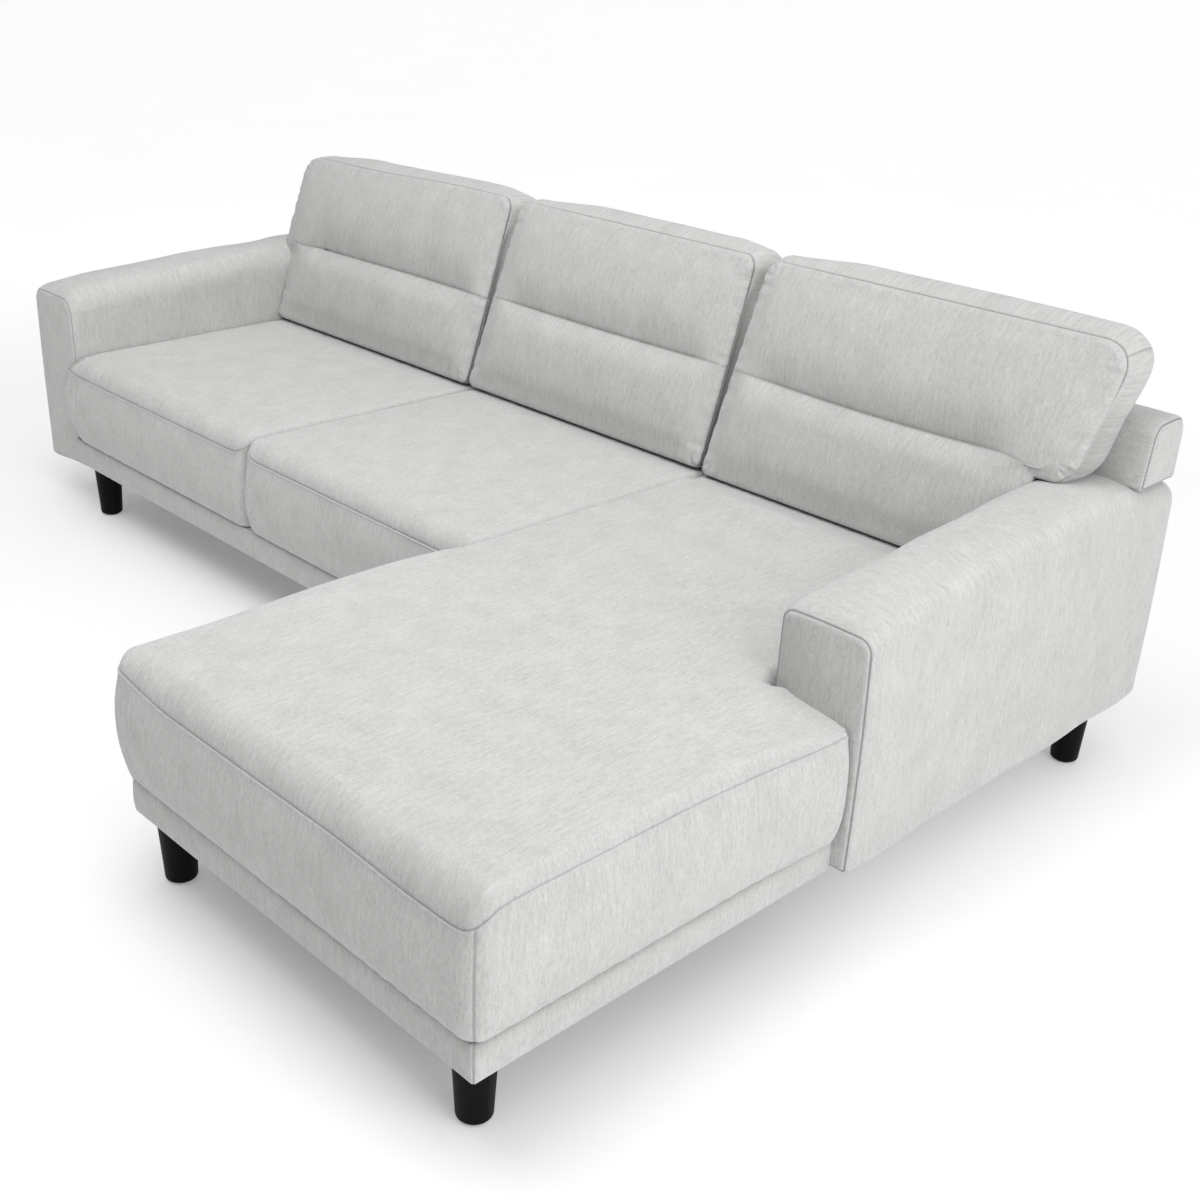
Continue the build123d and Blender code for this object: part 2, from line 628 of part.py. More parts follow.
with BuildPart() as right_back_cushion_lower:
    with BuildSketch(Plane.YZ.offset(x_module + cushion_gap)):
        with BuildLine():
            ThreePointArc((523.0, cushion_bottom), (543.0, 520.0), (tuck_y, cushion_tuck - 1))
            Polyline((tuck_y, cushion_tuck - 1), (cushion_rear(cushion_tuck - 1), cushion_tuck - 1),
                     (cushion_rear(cushion_bottom), cushion_bottom), (523.0, cushion_bottom))
        make_face()
    extrude(amount=x_arm - x_module - 2 * cushion_gap)

# the top of the cushion swells out behind, above the low back
over = back_top + 5.0
top_pts = [(tuck_y, cushion_tuck), (cushion_rear(cushion_tuck), cushion_tuck), (cushion_rear(over), over),
           (766.0, over + 14.0), (780.0, 800.0), (772.0, 852.0), (752.0, cushion_top), (705.0, cushion_top),
           (682.0, 854.0)]

with BuildPart() as left_back_cushion_upper:
    with BuildSketch(Plane.YZ.offset(cushion_left_end)):
        with BuildLine():
            Polyline(*top_pts)
            ThreePointArc((682.0, 854.0), (622.0, 745.0), (tuck_y, cushion_tuck))
        make_face()
    extrude(amount=x_gap_seats - cushion_gap - cushion_left_end)

with BuildPart() as middle_back_cushion_upper:
    with BuildSketch(Plane.YZ.offset(x_gap_seats + cushion_gap)):
        with BuildLine():
            Polyline(*top_pts)
            ThreePointArc((682.0, 854.0), (622.0, 745.0), (tuck_y, cushion_tuck))
        make_face()
    extrude(amount=x_module - x_gap_seats - 2 * cushion_gap)

with BuildPart() as right_back_cushion_upper:
    with BuildSketch(Plane.YZ.offset(x_module + cushion_gap)):
        with BuildLine():
            Polyline(*top_pts)
            ThreePointArc((682.0, 854.0), (622.0, 745.0), (tuck_y, cushion_tuck))
        make_face()
    extrude(amount=cushion_right_end - x_module - cushion_gap)

# ---------------------------------------------------------------- one file for each piece
pieces = {
    "legs": legs, "leg_glides": leg_glides, "leg_plates": leg_plates, "leg_studs": leg_studs,
    "corner_blocks": corner_blocks,
    "seat_front_rail": seat_front_rail, "seat_rear_rail": seat_rear_rail,
    "seat_side_rails": seat_side_rails, "seat_centre_rail": seat_centre_rail,
    "chaise_front_rail": chaise_front_rail, "chaise_rear_rail": chaise_rear_rail,
    "chaise_side_rails": chaise_side_rails, "chaise_cross_rails": chaise_cross_rails,
    "joining_plates": joining_plates, "joining_screws": joining_screws,
    "seat_webbing": seat_webbing, "chaise_webbing": chaise_webbing, "webbing_clips": webbing_clips,
    "dust_covers": dust_covers, "seat_plinth_cover": seat_plinth_cover,
    "chaise_plinth_front": chaise_plinth_front, "chaise_plinth_left": chaise_plinth_left,
    "chaise_plinth_right": chaise_plinth_right,
    "arm_posts": arm_posts, "arm_rails": arm_rails, "arm_bolts": arm_bolts,
    "left_arm_front_panel": left_arm_front_panel, "left_arm_top_panel": left_arm_top_panel,
    "left_arm_outer_panel": left_arm_outer_panel, "left_arm_inner_panel": left_arm_inner_panel,
    "left_arm_rear_panel": left_arm_rear_panel,
    "right_arm_front_panel": right_arm_front_panel, "right_arm_top_panel": right_arm_top_panel,
    "right_arm_outer_panel": right_arm_outer_panel, "right_arm_inner_panel": right_arm_inner_panel,
    "right_arm_rear_panel": right_arm_rear_panel,
    "back_posts": back_posts, "back_top_rails": back_top_rails, "back_webbing": back_webbing,
    "back_bolts": back_bolts,
    "left_back_front_pad": left_back_front_pad, "left_back_upper_pad": left_back_upper_pad,
    "left_back_cap_pad": left_back_cap_pad, "left_back_rear_panel": left_back_rear_panel,
    "right_back_front_pad": right_back_front_pad, "right_back_upper_pad": right_back_upper_pad,
    "right_back_cap_pad": right_back_cap_pad, "right_back_rear_panel": right_back_rear_panel,
    "back_end_pads": back_end_pads,
    "left_seat_cushion": left_seat_cushion, "middle_seat_cushion": middle_seat_cushion,
    "chaise_seat_cushion": chaise_seat_cushion,
    "left_back_cushion_lower": left_back_cushion_lower, "left_back_cushion_upper": left_back_cushion_upper,
    "middle_back_cushion_lower": middle_back_cushion_lower, "middle_back_cushion_upper": middle_back_cushion_upper,
    "right_back_cushion_lower": right_back_cushion_lower, "right_back_cushion_upper": right_back_cushion_upper,
}
for label, piece in pieces.items():
    piece.part.label = label
    export_step(piece.part, f"parts/{label}.step")
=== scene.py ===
import bpy, math
import numpy as np
from mathutils import Matrix, Vector


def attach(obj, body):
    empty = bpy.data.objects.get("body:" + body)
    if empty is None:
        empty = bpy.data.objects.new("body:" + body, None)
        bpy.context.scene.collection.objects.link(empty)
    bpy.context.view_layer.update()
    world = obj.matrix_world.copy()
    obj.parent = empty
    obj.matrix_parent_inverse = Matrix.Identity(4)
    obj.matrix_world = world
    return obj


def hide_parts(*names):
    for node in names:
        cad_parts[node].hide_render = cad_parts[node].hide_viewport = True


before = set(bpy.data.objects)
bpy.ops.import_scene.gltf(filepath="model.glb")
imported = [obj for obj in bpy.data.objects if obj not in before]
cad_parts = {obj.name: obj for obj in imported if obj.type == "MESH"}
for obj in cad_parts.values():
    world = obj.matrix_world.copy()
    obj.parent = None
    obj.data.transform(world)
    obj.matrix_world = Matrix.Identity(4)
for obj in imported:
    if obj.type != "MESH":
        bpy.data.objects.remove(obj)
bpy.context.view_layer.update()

# ------------------------------------------------------------------ small helpers
def smooth(t):
    t = np.clip(t, 0.0, 1.0)
    return t * t * (3 - 2 * t)


def graded(a, b, pts, fine, coarse, rate=0.22):
    """Grid lines from a to b, close together near pts and wide apart elsewhere."""
    t = np.linspace(a, b, 3001)
    s = np.full_like(t, coarse)
    for p in pts:
        s = np.minimum(s, fine + rate * np.abs(t - p))
    c = np.concatenate([[0.0], np.cumsum(0.5 * (1 / s[1:] + 1 / s[:-1]) * np.diff(t))])
    n = max(1, int(math.ceil(c[-1])))
    out = np.interp(np.linspace(0, c[-1], n + 1), c, t)
    out[0], out[-1] = a, b
    return out


def spans(breaks, pts, fine, coarse, rate=0.22):
    """Grid lines through every break; returns the lines and the break of each cell."""
    xs, blk = [breaks[0]], []
    for k in range(len(breaks) - 1):
        seg = graded(breaks[k], breaks[k + 1], pts, fine, coarse, rate)
        xs += list(seg[1:])
        blk += [k] * (len(seg) - 1)
    return np.array(xs), np.array(blk)


class Waves:
    """Smooth repeatable noise: a sum of plane waves."""

    def __init__(self, seed, n=14):
        r = np.random.RandomState(seed)
        a = r.uniform(0, 2 * np.pi, n)
        k = r.uniform(0.55, 1.6, n)
        self.kx, self.ky, self.ph = k * np.cos(a), k * np.sin(a), r.uniform(0, 2 * np.pi, n)

    def __call__(self, x, y, length):
        x, y = np.asarray(x) * (2 * np.pi / length), np.asarray(y) * (2 * np.pi / length)
        v = 0.0
        for a, b, p in zip(self.kx, self.ky, self.ph):
            v = v + np.sin(a * x + b * y + p)
        return v / math.sqrt(len(self.kx) / 2)


def ripple(seed, t, length):
    """Noise along a line."""
    r = np.random.RandomState(seed)
    v = 0.0
    for _ in range(9):
        k = r.uniform(0.5, 1.9) * 2 * np.pi / length
        v = v + np.sin(k * np.asarray(t) + r.uniform(0, 2 * np.pi))
    return v / math.sqrt(4.5)


# ------------------------------------------------------------------ the sewn slab
class Slab:
    """A closed, sewn form: two panels of one outline and a wall of levels between them.

    The outline is a set of blocks of a grid, with its outer corners rounded. Each level of the wall is
    (height, inset). Lengths are millimetres in the slab's own frame (a, b, h).
    """

    def __init__(self, xb, yb, blocks, levels, radii, zone=70.0, fine=2.2, coarse=13.0, xpts=(), ypts=(), rate=0.22,
                 x_scale=1.0, x_from=2.7):
        ef = fine
        self.x_scale, self.x_from = x_scale, x_from
        xs, bx = spans(xb, list(xpts) + list(xb), ef, coarse, rate)
        ys, by = spans(yb, list(ypts) + list(yb), ef, coarse, rate)
        nx, ny = len(xs), len(ys)
        inc = np.zeros((nx - 1, ny - 1), bool)
        for p, q in blocks:
            inc[np.ix_(bx == p, by == q)] = True
        pad = np.zeros((nx + 1, ny + 1), bool)
        pad[1:-1, 1:-1] = inc
        used = pad[1:, 1:] | pad[:-1, 1:] | pad[1:, :-1] | pad[:-1, :-1]
        nxt = {}
        for i in range(nx - 1):
            for j in range(ny - 1):
                if not inc[i, j]:
                    continue
                if not pad[i + 1, j]:
                    nxt[(i, j)] = (i + 1, j)
                if not pad[i + 2, j + 1]:
                    nxt[(i + 1, j)] = (i + 1, j + 1)
                if not pad[i + 1, j + 2]:
                    nxt[(i + 1, j + 1)] = (i, j + 1)
                if not pad[i, j + 1]:
                    nxt[(i, j + 1)] = (i, j)
        start = min(nxt)
        loop, p = [start], nxt[start]
        while p != start:
            loop.append(p)
            p = nxt[p]
        assert len(loop) == len(nxt)
        n = len(loop)
        # straight sides and corners of the outline
        d = [(loop[(k + 1) % n][0] - loop[k][0], loop[(k + 1) % n][1] - loop[k][1]) for k in range(n)]
        turns = [k for k in range(n) if d[k] != d[k - 1]]
        segs, corners = [], []
        for m, k in enumerate(turns):
            e = turns[(m + 1) % len(turns)]
            p0, p1 = loop[k], loop[e]
            segs.append(((xs[p0[0]], ys[p0[1]]), (xs[p1[0]], ys[p1[1]]), (d[k][1], -d[k][0])))
            dp, dn = d[k - 1], d[k]
            if dp[0] * dn[1] - dp[1] * dn[0] > 0:
                n1, n2 = (dp[1], -dp[0]), (dn[1], -dn[0])
                corners.append((xs[p0[0]], ys[p0[1]], n1[0] + n2[0], n1[1] + n2[1]))
        X, Y = np.meshgrid(xs, ys, indexing="ij")
        wx, wy = np.zeros_like(X), np.zeros_like(Y)
        dist = np.full_like(X, 1e9)
        self.near_h = np.zeros_like(X, bool)
        for (ax, ay), (bx_, by_), (sx, sy) in segs:
            lo_x, hi_x, lo_y, hi_y = min(ax, bx_), max(ax, bx_), min(ay, by_), max(ay, by_)
            if sx:
                dd, over = (ax - X) * sx, np.maximum(np.maximum(lo_y - Y, Y - hi_y), 0)
            else:
                dd, over = (ay - Y) * sy, np.maximum(np.maximum(lo_x - X, X - hi_x), 0)
            w = np.where(dd >= -1e-6, np.clip(1 - dd / zone, 0, 1), 0) * smooth(1 - over / zone)
            wx -= sx * w
            wy -= sy * w
            e = np.where(dd >= -1e-6, np.hypot(np.maximum(dd, 0), over), 1e9)
            self.near_h = np.where(e < dist, sx == 0, self.near_h)
            dist = np.minimum(dist, e)
        self.X, self.Y, self.wx, self.wy, self.dist = X, Y, wx, wy, dist
        self.corners = [(cx, cy, sx, sy, radii(cx, cy)) for cx, cy, sx, sy in corners]
        li, lj = np.array([q[0] for q in loop]), np.array([q[1] for q in loop])
        self.li, self.lj, self.n = li, lj, n
        # outward direction of the wall at each point of the outline
        lx, ly = self.place(X[li, lj], Y[li, lj], wx[li, lj], wy[li, lj], 0.0)
        tx, ty = np.roll(lx, -1) - np.roll(lx, 1), np.roll(ly, -1) - np.roll(ly, 1)
        tl = np.hypot(tx, ty) + 1e-9
        self.nrm = np.stack([ty / tl, -tx / tl], 1)
        step = np.hypot(np.roll(lx, -1) - lx, np.roll(ly, -1) - ly)
        self.around = np.concatenate([[0], np.cumsum(step)])
        self.loop_x, self.loop_y = lx, ly
        # vertices
        L = len(levels)
        self.levels = np.array(levels, float)
        top = -np.ones(X.shape, int)
        bot = -np.ones(X.shape, int)
        iu, ju = np.nonzero(used)
        m = len(iu)
        bot[iu, ju] = np.arange(m)
        top[iu, ju] = m + np.arange(m)
        V = []
        for (h, ins) in (levels[0], levels[-1]):
            px, py = self.place(X[iu, ju], Y[iu, ju], wx[iu, ju], wy[iu, ju], ins)
            V.append(np.stack([px, py, np.full(m, h)], 1))
        wall = np.zeros((L, n), int)
        wall[0], wall[-1] = bot[li, lj], top[li, lj]
        base = 2 * m
        lev = [np.zeros(m), np.full(m, L - 1)]
        lix = [-np.ones(m, int), -np.ones(m, int)]
        where = {(a, b): k for k, (a, b) in enumerate(loop)}
        on = np.array([where.get((a, b), -1) for a, b in zip(iu, ju)])
        lix[0], lix[1] = on.copy(), on.copy()
        for k in range(1, L - 1):
            h, ins = levels[k]
            px, py = self.place(X[li, lj], Y[li, lj], wx[li, lj], wy[li, lj], ins)
            V.append(np.stack([px, py, np.full(n, h)], 1))
            wall[k] = base + np.arange(n)
            lev.append(np.full(n, k))
            lix.append(np.arange(n))
            base += n
        self.m, self.iu, self.ju, self.used, self.inc = m, iu, ju, used, inc
        self.V = np.concatenate(V)
        self.lev, self.lix = np.concatenate(lev).astype(int), np.concatenate(lix)
        self.kind = np.concatenate([np.zeros(m), np.full(m, 2), np.ones(len(self.V) - 2 * m)]).astype(int)
        pu, pv, de = X[iu, ju], Y[iu, ju], dist[iu, ju]
        nh = self.near_h[iu, ju]
        rest = len(self.V) - 2 * m
        reps = L - 2
        self.pu = np.concatenate([pu, pu, np.tile(X[li, lj], reps)])
        self.pv = np.concatenate([pv, pv, np.tile(Y[li, lj], reps)])
        self.de = np.concatenate([de, de, np.zeros(rest)])
        self.along = np.concatenate([np.where(nh, pu, pv)] * 2 + [np.zeros(rest)])
        self.wall = wall
        # faces and the lie of the cloth at each face corner
        ci, cj = np.nonzero(inc)
        q = [top[ci, cj], top[ci + 1, cj], top[ci + 1, cj + 1], top[ci, cj + 1]]
        ft = np.stack(q, 1)
        fb = np.stack([bot[ci, cj], bot[ci, cj + 1], bot[ci + 1, cj + 1], bot[ci + 1, cj]], 1)
        ut = np.stack([np.stack([X[a, b], Y[a, b]], 1) for a, b in ((ci, cj), (ci + 1, cj), (ci + 1, cj + 1), (ci, cj + 1))], 1)
        ub = np.stack([np.stack([X[a, b], Y[a, b]], 1) for a, b in ((ci, cj), (ci, cj + 1), (ci + 1, cj + 1), (ci + 1, cj))], 1)
        rise = np.concatenate([[0], np.cumsum(np.hypot(np.diff(self.levels[:, 0]), np.diff(self.levels[:, 1])))])
        fw, uw = [], []
        a = np.arange(n)
        b = (a + 1) % n
        s0, s1 = self.around[:-1], self.around[1:]
        for k in range(L - 1):
            fw.append(np.stack([wall[k][a], wall[k][b], wall[k + 1][b], wall[k + 1][a]], 1))
            z = np.zeros(n)
            uw.append(np.stack([np.stack([s0, z + rise[k]], 1), np.stack([s1, z + rise[k]], 1),
                                np.stack([s1, z + rise[k + 1]], 1), np.stack([s0, z + rise[k + 1]], 1)], 1))
        self.F = np.concatenate([ft, fb] + fw)
        self.UV = np.concatenate([ut, ub] + uw)
        self.fkind = np.concatenate([np.full(len(ft), 2), np.zeros(len(fb)), np.ones(n * (L - 1))]).astype(int)

    def place(self, x, y, wx, wy, inset):
        ix = inset if inset <= self.x_from else self.x_from + (inset - self.x_from) * self.x_scale
        px, py = x + ix * wx, y + inset * wy
        for cx, cy, sx, sy, R in self.corners:
            r = max(R - max(inset, ix), 0.6)
            ox, oy = cx - sx * (ix + r), cy - sy * (inset + r)
            p, q = (px - ox) * sx, (py - oy) * sy
            m = (p > 0) & (q > 0) & (p < r * 1.02 + 0.01) & (q < r * 1.02 + 0.01)
            h = np.hypot(p, q)
            k = np.where(m, np.maximum(p, q) / np.maximum(h, 1e-9), 1.0)
            px, py = np.where(m, ox + sx * p * k, px), np.where(m, oy + sy * q * k, py)
        return px, py

    def out(self):
        """Outward plan direction of each vertex of the wall, zero on the panels' insides."""
        o = np.zeros((len(self.V), 2))
        w = self.lix >= 0
        o[w] = self.nrm[self.lix[w]]
        return o

    def blend(self, values, width):
        """Averages a value of the outline's points over a length of the outline."""
        t = self.around[:-1]
        gap = np.abs(t[:, None] - t[None, :])
        gap = np.minimum(gap, self.around[-1] - gap)
        step = 0.5 * (np.roll(np.diff(self.around), 1) + np.diff(self.around))
        k = np.exp(-(gap / width) ** 2) * step[None, :]
        return (k @ values) / k.sum(1)

    def s(self):
        """Distance round the outline of each vertex of the wall."""
        return np.where(self.lix >= 0, self.around[np.maximum(self.lix, 0)], 0.0)


def membrane(sl, reach, inset):
    """Height of a cover drawn over a soft core: 0 at the outline, near 1 further in than reach."""
    px, py = sl.place(sl.X, sl.Y, sl.wx, sl.wy, inset)
    hx, hy = np.maximum(np.diff(px, axis=0), 0.3), np.maximum(np.diff(py, axis=1), 0.3)
    cx = np.zeros_like(px)
    cx[:-1] += hx / 2
    cx[1:] += hx / 2
    cy = np.zeros_like(py)
    cy[:, :-1] += hy / 2
    cy[:, 1:] += hy / 2
    free = sl.used.copy()
    free[sl.li, sl.lj] = False
    ax = 0.5 * (cy[1:] + cy[:-1]) / hx
    ay = 0.5 * (cx[:, 1:] + cx[:, :-1]) / hy
    mass = cx * cy / reach ** 2

    def apply(u):
        u = np.where(free, u, 0.0)
        r = mass * u
        fx = ax * (u[1:] - u[:-1])
        r[:-1] -= fx
        r[1:] += fx
        fy = ay * (u[:, 1:] - u[:, :-1])
        r[:, :-1] -= fy
        r[:, 1:] += fy
        return np.where(free, r, 0.0)

    diag = mass.copy()
    diag[:-1] += ax
    diag[1:] += ax
    diag[:, :-1] += ay
    diag[:, 1:] += ay
    b = np.where(free, mass, 0.0)
    u = np.zeros_like(b)
    r = b.copy()
    z = r / diag
    q = z.copy()
    rz = (r * z).sum()
    for _ in range(900):
        w = apply(q)
        a = rz / (q * w).sum()
        u += a * q
        r -= a * w
        z = r / diag
        rz2 = (r * z).sum()
        if rz2 < 1e-10 * (b * b / diag).sum():
            break
        q = z + (rz2 / rz) * q
        rz = rz2
    out = np.zeros(len(sl.V))
    out[sl.m:2 * sl.m] = u[sl.iu, sl.ju]
    out[:sl.m] = u[sl.iu, sl.ju]
    return out


def shoulder(h0, inset, a, b, slope, n):
    """Levels that round over from an upright wall, until their slope is that of the panel."""
    end = math.atan((b / a) / slope)
    return [(h0 + b * math.sin(t), inset + a * (1 - math.cos(t))) for t in np.linspace(0, end, n + 1)[1:]]


def build(name, slab, V, axes, origin, mat, turn=False, seam=None):
    """Makes the object. axes are the directions of a, b and h in the row frame."""
    A = np.array(axes, float)
    W = (V @ A + np.array(origin, float)) / 1000.0
    me = bpy.data.meshes.new(name)
    nf = len(slab.F)
    me.vertices.add(len(W))
    me.vertices.foreach_set("co", W.astype(np.float32).ravel())
    me.loops.add(nf * 4)
    me.loops.foreach_set("vertex_index", slab.F.astype(np.int32).ravel())
    me.polygons.add(nf)
    me.polygons.foreach_set("loop_start", np.arange(0, nf * 4, 4, dtype=np.int32))
    me.polygons.foreach_set("loop_total", np.full(nf, 4, dtype=np.int32))
    me.polygons.foreach_set("use_smooth", np.ones(nf, dtype=bool))
    me.update(calc_edges=True)
    uv = slab.UV.reshape(-1, 2) / 1000.0
    if turn:
        wall = np.repeat(slab.fkind == 1, 4)
        uv = np.where(wall[:, None], uv[:, ::-1], uv)
    at = me.attributes.new("weave", "FLOAT_VECTOR", "CORNER")
    at.data.foreach_set("vector", np.concatenate([uv, np.zeros((len(uv), 1))], 1).astype(np.float32).ravel())
    # the per-point 'seam' attribute is painted shade, 0 to 1: dark seam grooves and shade in creases, gaps and
    # contacts; the fabric mixes it into the colour
    painted_shade = me.attributes.new("seam", "FLOAT", "POINT")
    painted_shade.data.foreach_set("value", np.zeros(len(W), np.float32) if seam is None else np.clip(seam, 0, 1).astype(np.float32))
    me.validate()
    me.materials.append(mat)
    ob = bpy.data.objects.new(name, me)
    bpy.context.scene.collection.objects.link(ob)
    return ob


# ------------------------------------------------------------------ materials
def new_mat(name):
    m = bpy.data.materials.new(name)
    m.use_nodes = True
    nt = m.node_tree
    b = nt.nodes["Principled BSDF"]
    return m, nt, b


def node(nt, kind, **kw):
    n = nt.nodes.new(kind)
    for k, v in kw.items():
        setattr(n, k, v)
    return n


def scaled(nt, src, sx, sy, sz=1.0):
    mp = node(nt, "ShaderNodeMapping")
    mp.inputs["Scale"].default_value = (sx, sy, sz)
    nt.links.new(src, mp.inputs["Vector"])
    return mp.outputs["Vector"]


def noise(nt, vec, scale, detail=2.0, rough=0.5):
    n = node(nt, "ShaderNodeTexNoise")
    n.inputs["Scale"].default_value = scale
    n.inputs["Detail"].default_value = detail
    n.inputs["Roughness"].default_value = rough
    nt.links.new(vec, n.inputs["Vector"])
    return n.outputs["Fac"]


def math_node(nt, op, a, b=None, c=None):
    n = node(nt, "ShaderNodeMath", operation=op)
    for k, v in enumerate((a, b, c)):
        if v is None:
            continue
        if isinstance(v, (int, float)):
            n.inputs[k].default_value = v
        else:
            nt.links.new(v, n.inputs[k])
    return n.outputs[0]


def ramp(nt, fac, stops):
    r = node(nt, "ShaderNodeValToRGB")
    e = r.color_ramp.elements
    e[0].position, e[0].color = stops[0][0], (*stops[0][1], 1)
    e[1].position, e[1].color = stops[-1][0], (*stops[-1][1], 1)
    for p, c in stops[1:-1]:
        x = e.new(p)
        x.color = (*c, 1)
    nt.links.new(fac, r.inputs["Fac"])
    return r.outputs["Color"]


def fabric(name="sofa_fabric", tone=1.0):
    """Light grey melange: short streaks along the warp, a fine plain weave, faint cloudiness, and painted shade mixed
    in from a per-point attribute.
    """
    m, nt, b = new_mat(name)
    at = node(nt, "ShaderNodeAttribute", attribute_name="weave")
    v = at.outputs["Vector"]
    streak = noise(nt, scaled(nt, v, 330, 80), 1.0, 3.0, 0.6)
    streak2 = noise(nt, scaled(nt, v, 150, 20, 1), 1.0, 2.0, 0.55)
    speck = noise(nt, v, 290.0, 2.0, 0.6)
    grain = noise(nt, v, 1100.0, 2.0, 0.6)
    cloud = noise(nt, v, 13.0, 3.0, 0.55)
    mixed = math_node(nt, "ADD", math_node(nt, "MULTIPLY", streak, 0.30), math_node(nt, "MULTIPLY", grain, 0.16))
    mixed = math_node(nt, "ADD", mixed, math_node(nt, "MULTIPLY", speck, 0.22))
    mixed = math_node(nt, "ADD", mixed, math_node(nt, "MULTIPLY", streak2, 0.19))
    mixed = math_node(nt, "ADD", mixed, math_node(nt, "MULTIPLY", cloud, 0.13))
    c0, c1, c2 = [(x * tone, x * tone * 0.998, x * tone * 0.985) for x in (0.46, 0.60, 0.73)]
    col = ramp(nt, mixed, [(0.355, c0), (0.5, c1), (0.645, c2)])
    # painted shade: the 'seam' attribute mixes the colour towards dark grey in seam grooves, creases, gaps between
    # cushions and contacts between parts
    painted_shade = node(nt, "ShaderNodeAttribute", attribute_name="seam")
    mx = node(nt, "ShaderNodeMix", data_type="RGBA", blend_type="MIX")
    nt.links.new(math_node(nt, "MULTIPLY", painted_shade.outputs["Fac"], 0.85), mx.inputs["Factor"])
    nt.links.new(col, mx.inputs["A"])
    mx.inputs["B"].default_value = (0.17, 0.168, 0.16, 1)
    nt.links.new(mx.outputs["Result"], b.inputs["Base Color"])
    b.inputs["Roughness"].default_value = 0.92
    b.inputs["Specular IOR Level"].default_value = 0.18
    b.inputs["Sheen Weight"].default_value = 0.12
    b.inputs["Sheen Roughness"].default_value = 0.45
    w1 = node(nt, "ShaderNodeTexWave", wave_type="BANDS", bands_direction="X")
    w1.inputs["Scale"].default_value = 140.0
    w1.inputs["Distortion"].default_value = 1.4
    w1.inputs["Detail"].default_value = 1.0
    w2 = node(nt, "ShaderNodeTexWave", wave_type="BANDS", bands_direction="Y")
    w2.inputs["Scale"].default_value = 140.0
    w2.inputs["Distortion"].default_value = 1.4
    w2.inputs["Detail"].default_value = 1.0
    nt.links.new(v, w1.inputs["Vector"])
    nt.links.new(v, w2.inputs["Vector"])
    h = math_node(nt, "ADD", math_node(nt, "MULTIPLY", w1.outputs["Fac"], 0.25), math_node(nt, "MULTIPLY", w2.outputs["Fac"], 0.25))
    h = math_node(nt, "ADD", h, math_node(nt, "MULTIPLY", grain, 0.6))
    h = math_node(nt, "ADD", h, math_node(nt, "MULTIPLY", streak, 0.7))
    bp = node(nt, "ShaderNodeBump")
    bp.inputs["Strength"].default_value = 0.34
    bp.inputs["Distance"].default_value = 0.0012
    nt.links.new(h, bp.inputs["Height"])
    nt.links.new(bp.outputs["Normal"], b.inputs["Normal"])
    return m


def object_coords(nt):
    return node(nt, "ShaderNodeTexCoord").outputs["Object"]


def plain(name, dark, light, scale, rough=(0.5, 0.7), stretch=(1, 1, 1), metal=0.0, bump=0.2, spec=0.5, dist=0.0005, coat=0.0):
    m, nt, b = new_mat(name)
    v = scaled(nt, object_coords(nt), *stretch)
    n1 = noise(nt, v, scale, 4.0, 0.6)
    n2 = noise(nt, v, scale * 7.0, 2.0, 0.5)
    f = math_node(nt, "ADD", math_node(nt, "MULTIPLY", n1, 0.7), math_node(nt, "MULTIPLY", n2, 0.3))
    nt.links.new(ramp(nt, f, [(0.35, dark), (0.65, light)]), b.inputs["Base Color"])
    mr = node(nt, "ShaderNodeMapRange")
    mr.inputs["From Min"].default_value, mr.inputs["From Max"].default_value = 0.3, 0.7
    mr.inputs["To Min"].default_value, mr.inputs["To Max"].default_value = rough
    nt.links.new(f, mr.inputs["Value"])
    nt.links.new(mr.outputs["Result"], b.inputs["Roughness"])
    b.inputs["Metallic"].default_value = metal
    b.inputs["Specular IOR Level"].default_value = spec
    b.inputs["Coat Weight"].default_value = coat
    b.inputs["Coat Roughness"].default_value = 0.35
    bp = node(nt, "ShaderNodeBump")
    bp.inputs["Strength"].default_value = bump
    bp.inputs["Distance"].default_value = dist
    nt.links.new(n2, bp.inputs["Height"])
    nt.links.new(bp.outputs["Normal"], b.inputs["Normal"])
    return m


FAB = fabric()
LEG = plain("leg_black_lacquer", (0.0012, 0.0012, 0.0012), (0.004, 0.004, 0.0041), 60, (0.45, 0.6), (1, 1, 0.12), bump=0.12, spec=0.1)
WOOD = plain("frame_plywood", (0.36, 0.23, 0.12), (0.66, 0.49, 0.31), 9, (0.55, 0.75), (1, 7, 7), bump=0.3)
STEEL = plain("zinc_steel", (0.40, 0.41, 0.43), (0.62, 0.63, 0.65), 120, (0.3, 0.45), metal=1.0, bump=0.1)
WEB = plain("webbing_band", (0.03, 0.03, 0.035), (0.12, 0.12, 0.13), 500, (0.8, 0.95), (1, 3, 1), bump=0.5)
DUST = plain("dust_cloth", (0.012, 0.012, 0.013), (0.035, 0.035, 0.037), 700, (0.9, 0.98), bump=0.4)
FELT = plain("glide_felt", (0.02, 0.02, 0.02), (0.06, 0.06, 0.06), 900, (0.9, 0.98), bump=0.5)

for nm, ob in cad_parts.items():
    if nm in ("legs",):
        mt = LEG
    elif nm in ("leg_glides",):
        mt = FELT
    elif nm in ("leg_plates", "leg_studs", "joining_plates", "joining_screws", "arm_bolts", "back_bolts", "webbing_clips"):
        mt = STEEL
    elif "webbing" in nm:
        mt = WEB
    elif nm == "dust_covers":
        mt = DUST
    else:
        mt = WOOD
    ob.data.materials.clear()
    ob.data.materials.append(mt)

XYZ = ((1, 0, 0), (0, 1, 0), (0, 0, 1))
O0 = (0, 0, 0)


def finish_piece(ob, body, nodes):
    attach(ob, body)
    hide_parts(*nodes)
    return ob


# ------------------------------------------------------------------ seat cushions
SEAM_Z, SEAT_Z0, SIDE_UP = 371.0, 194.0, 25.0
SEAT_R = 0.6


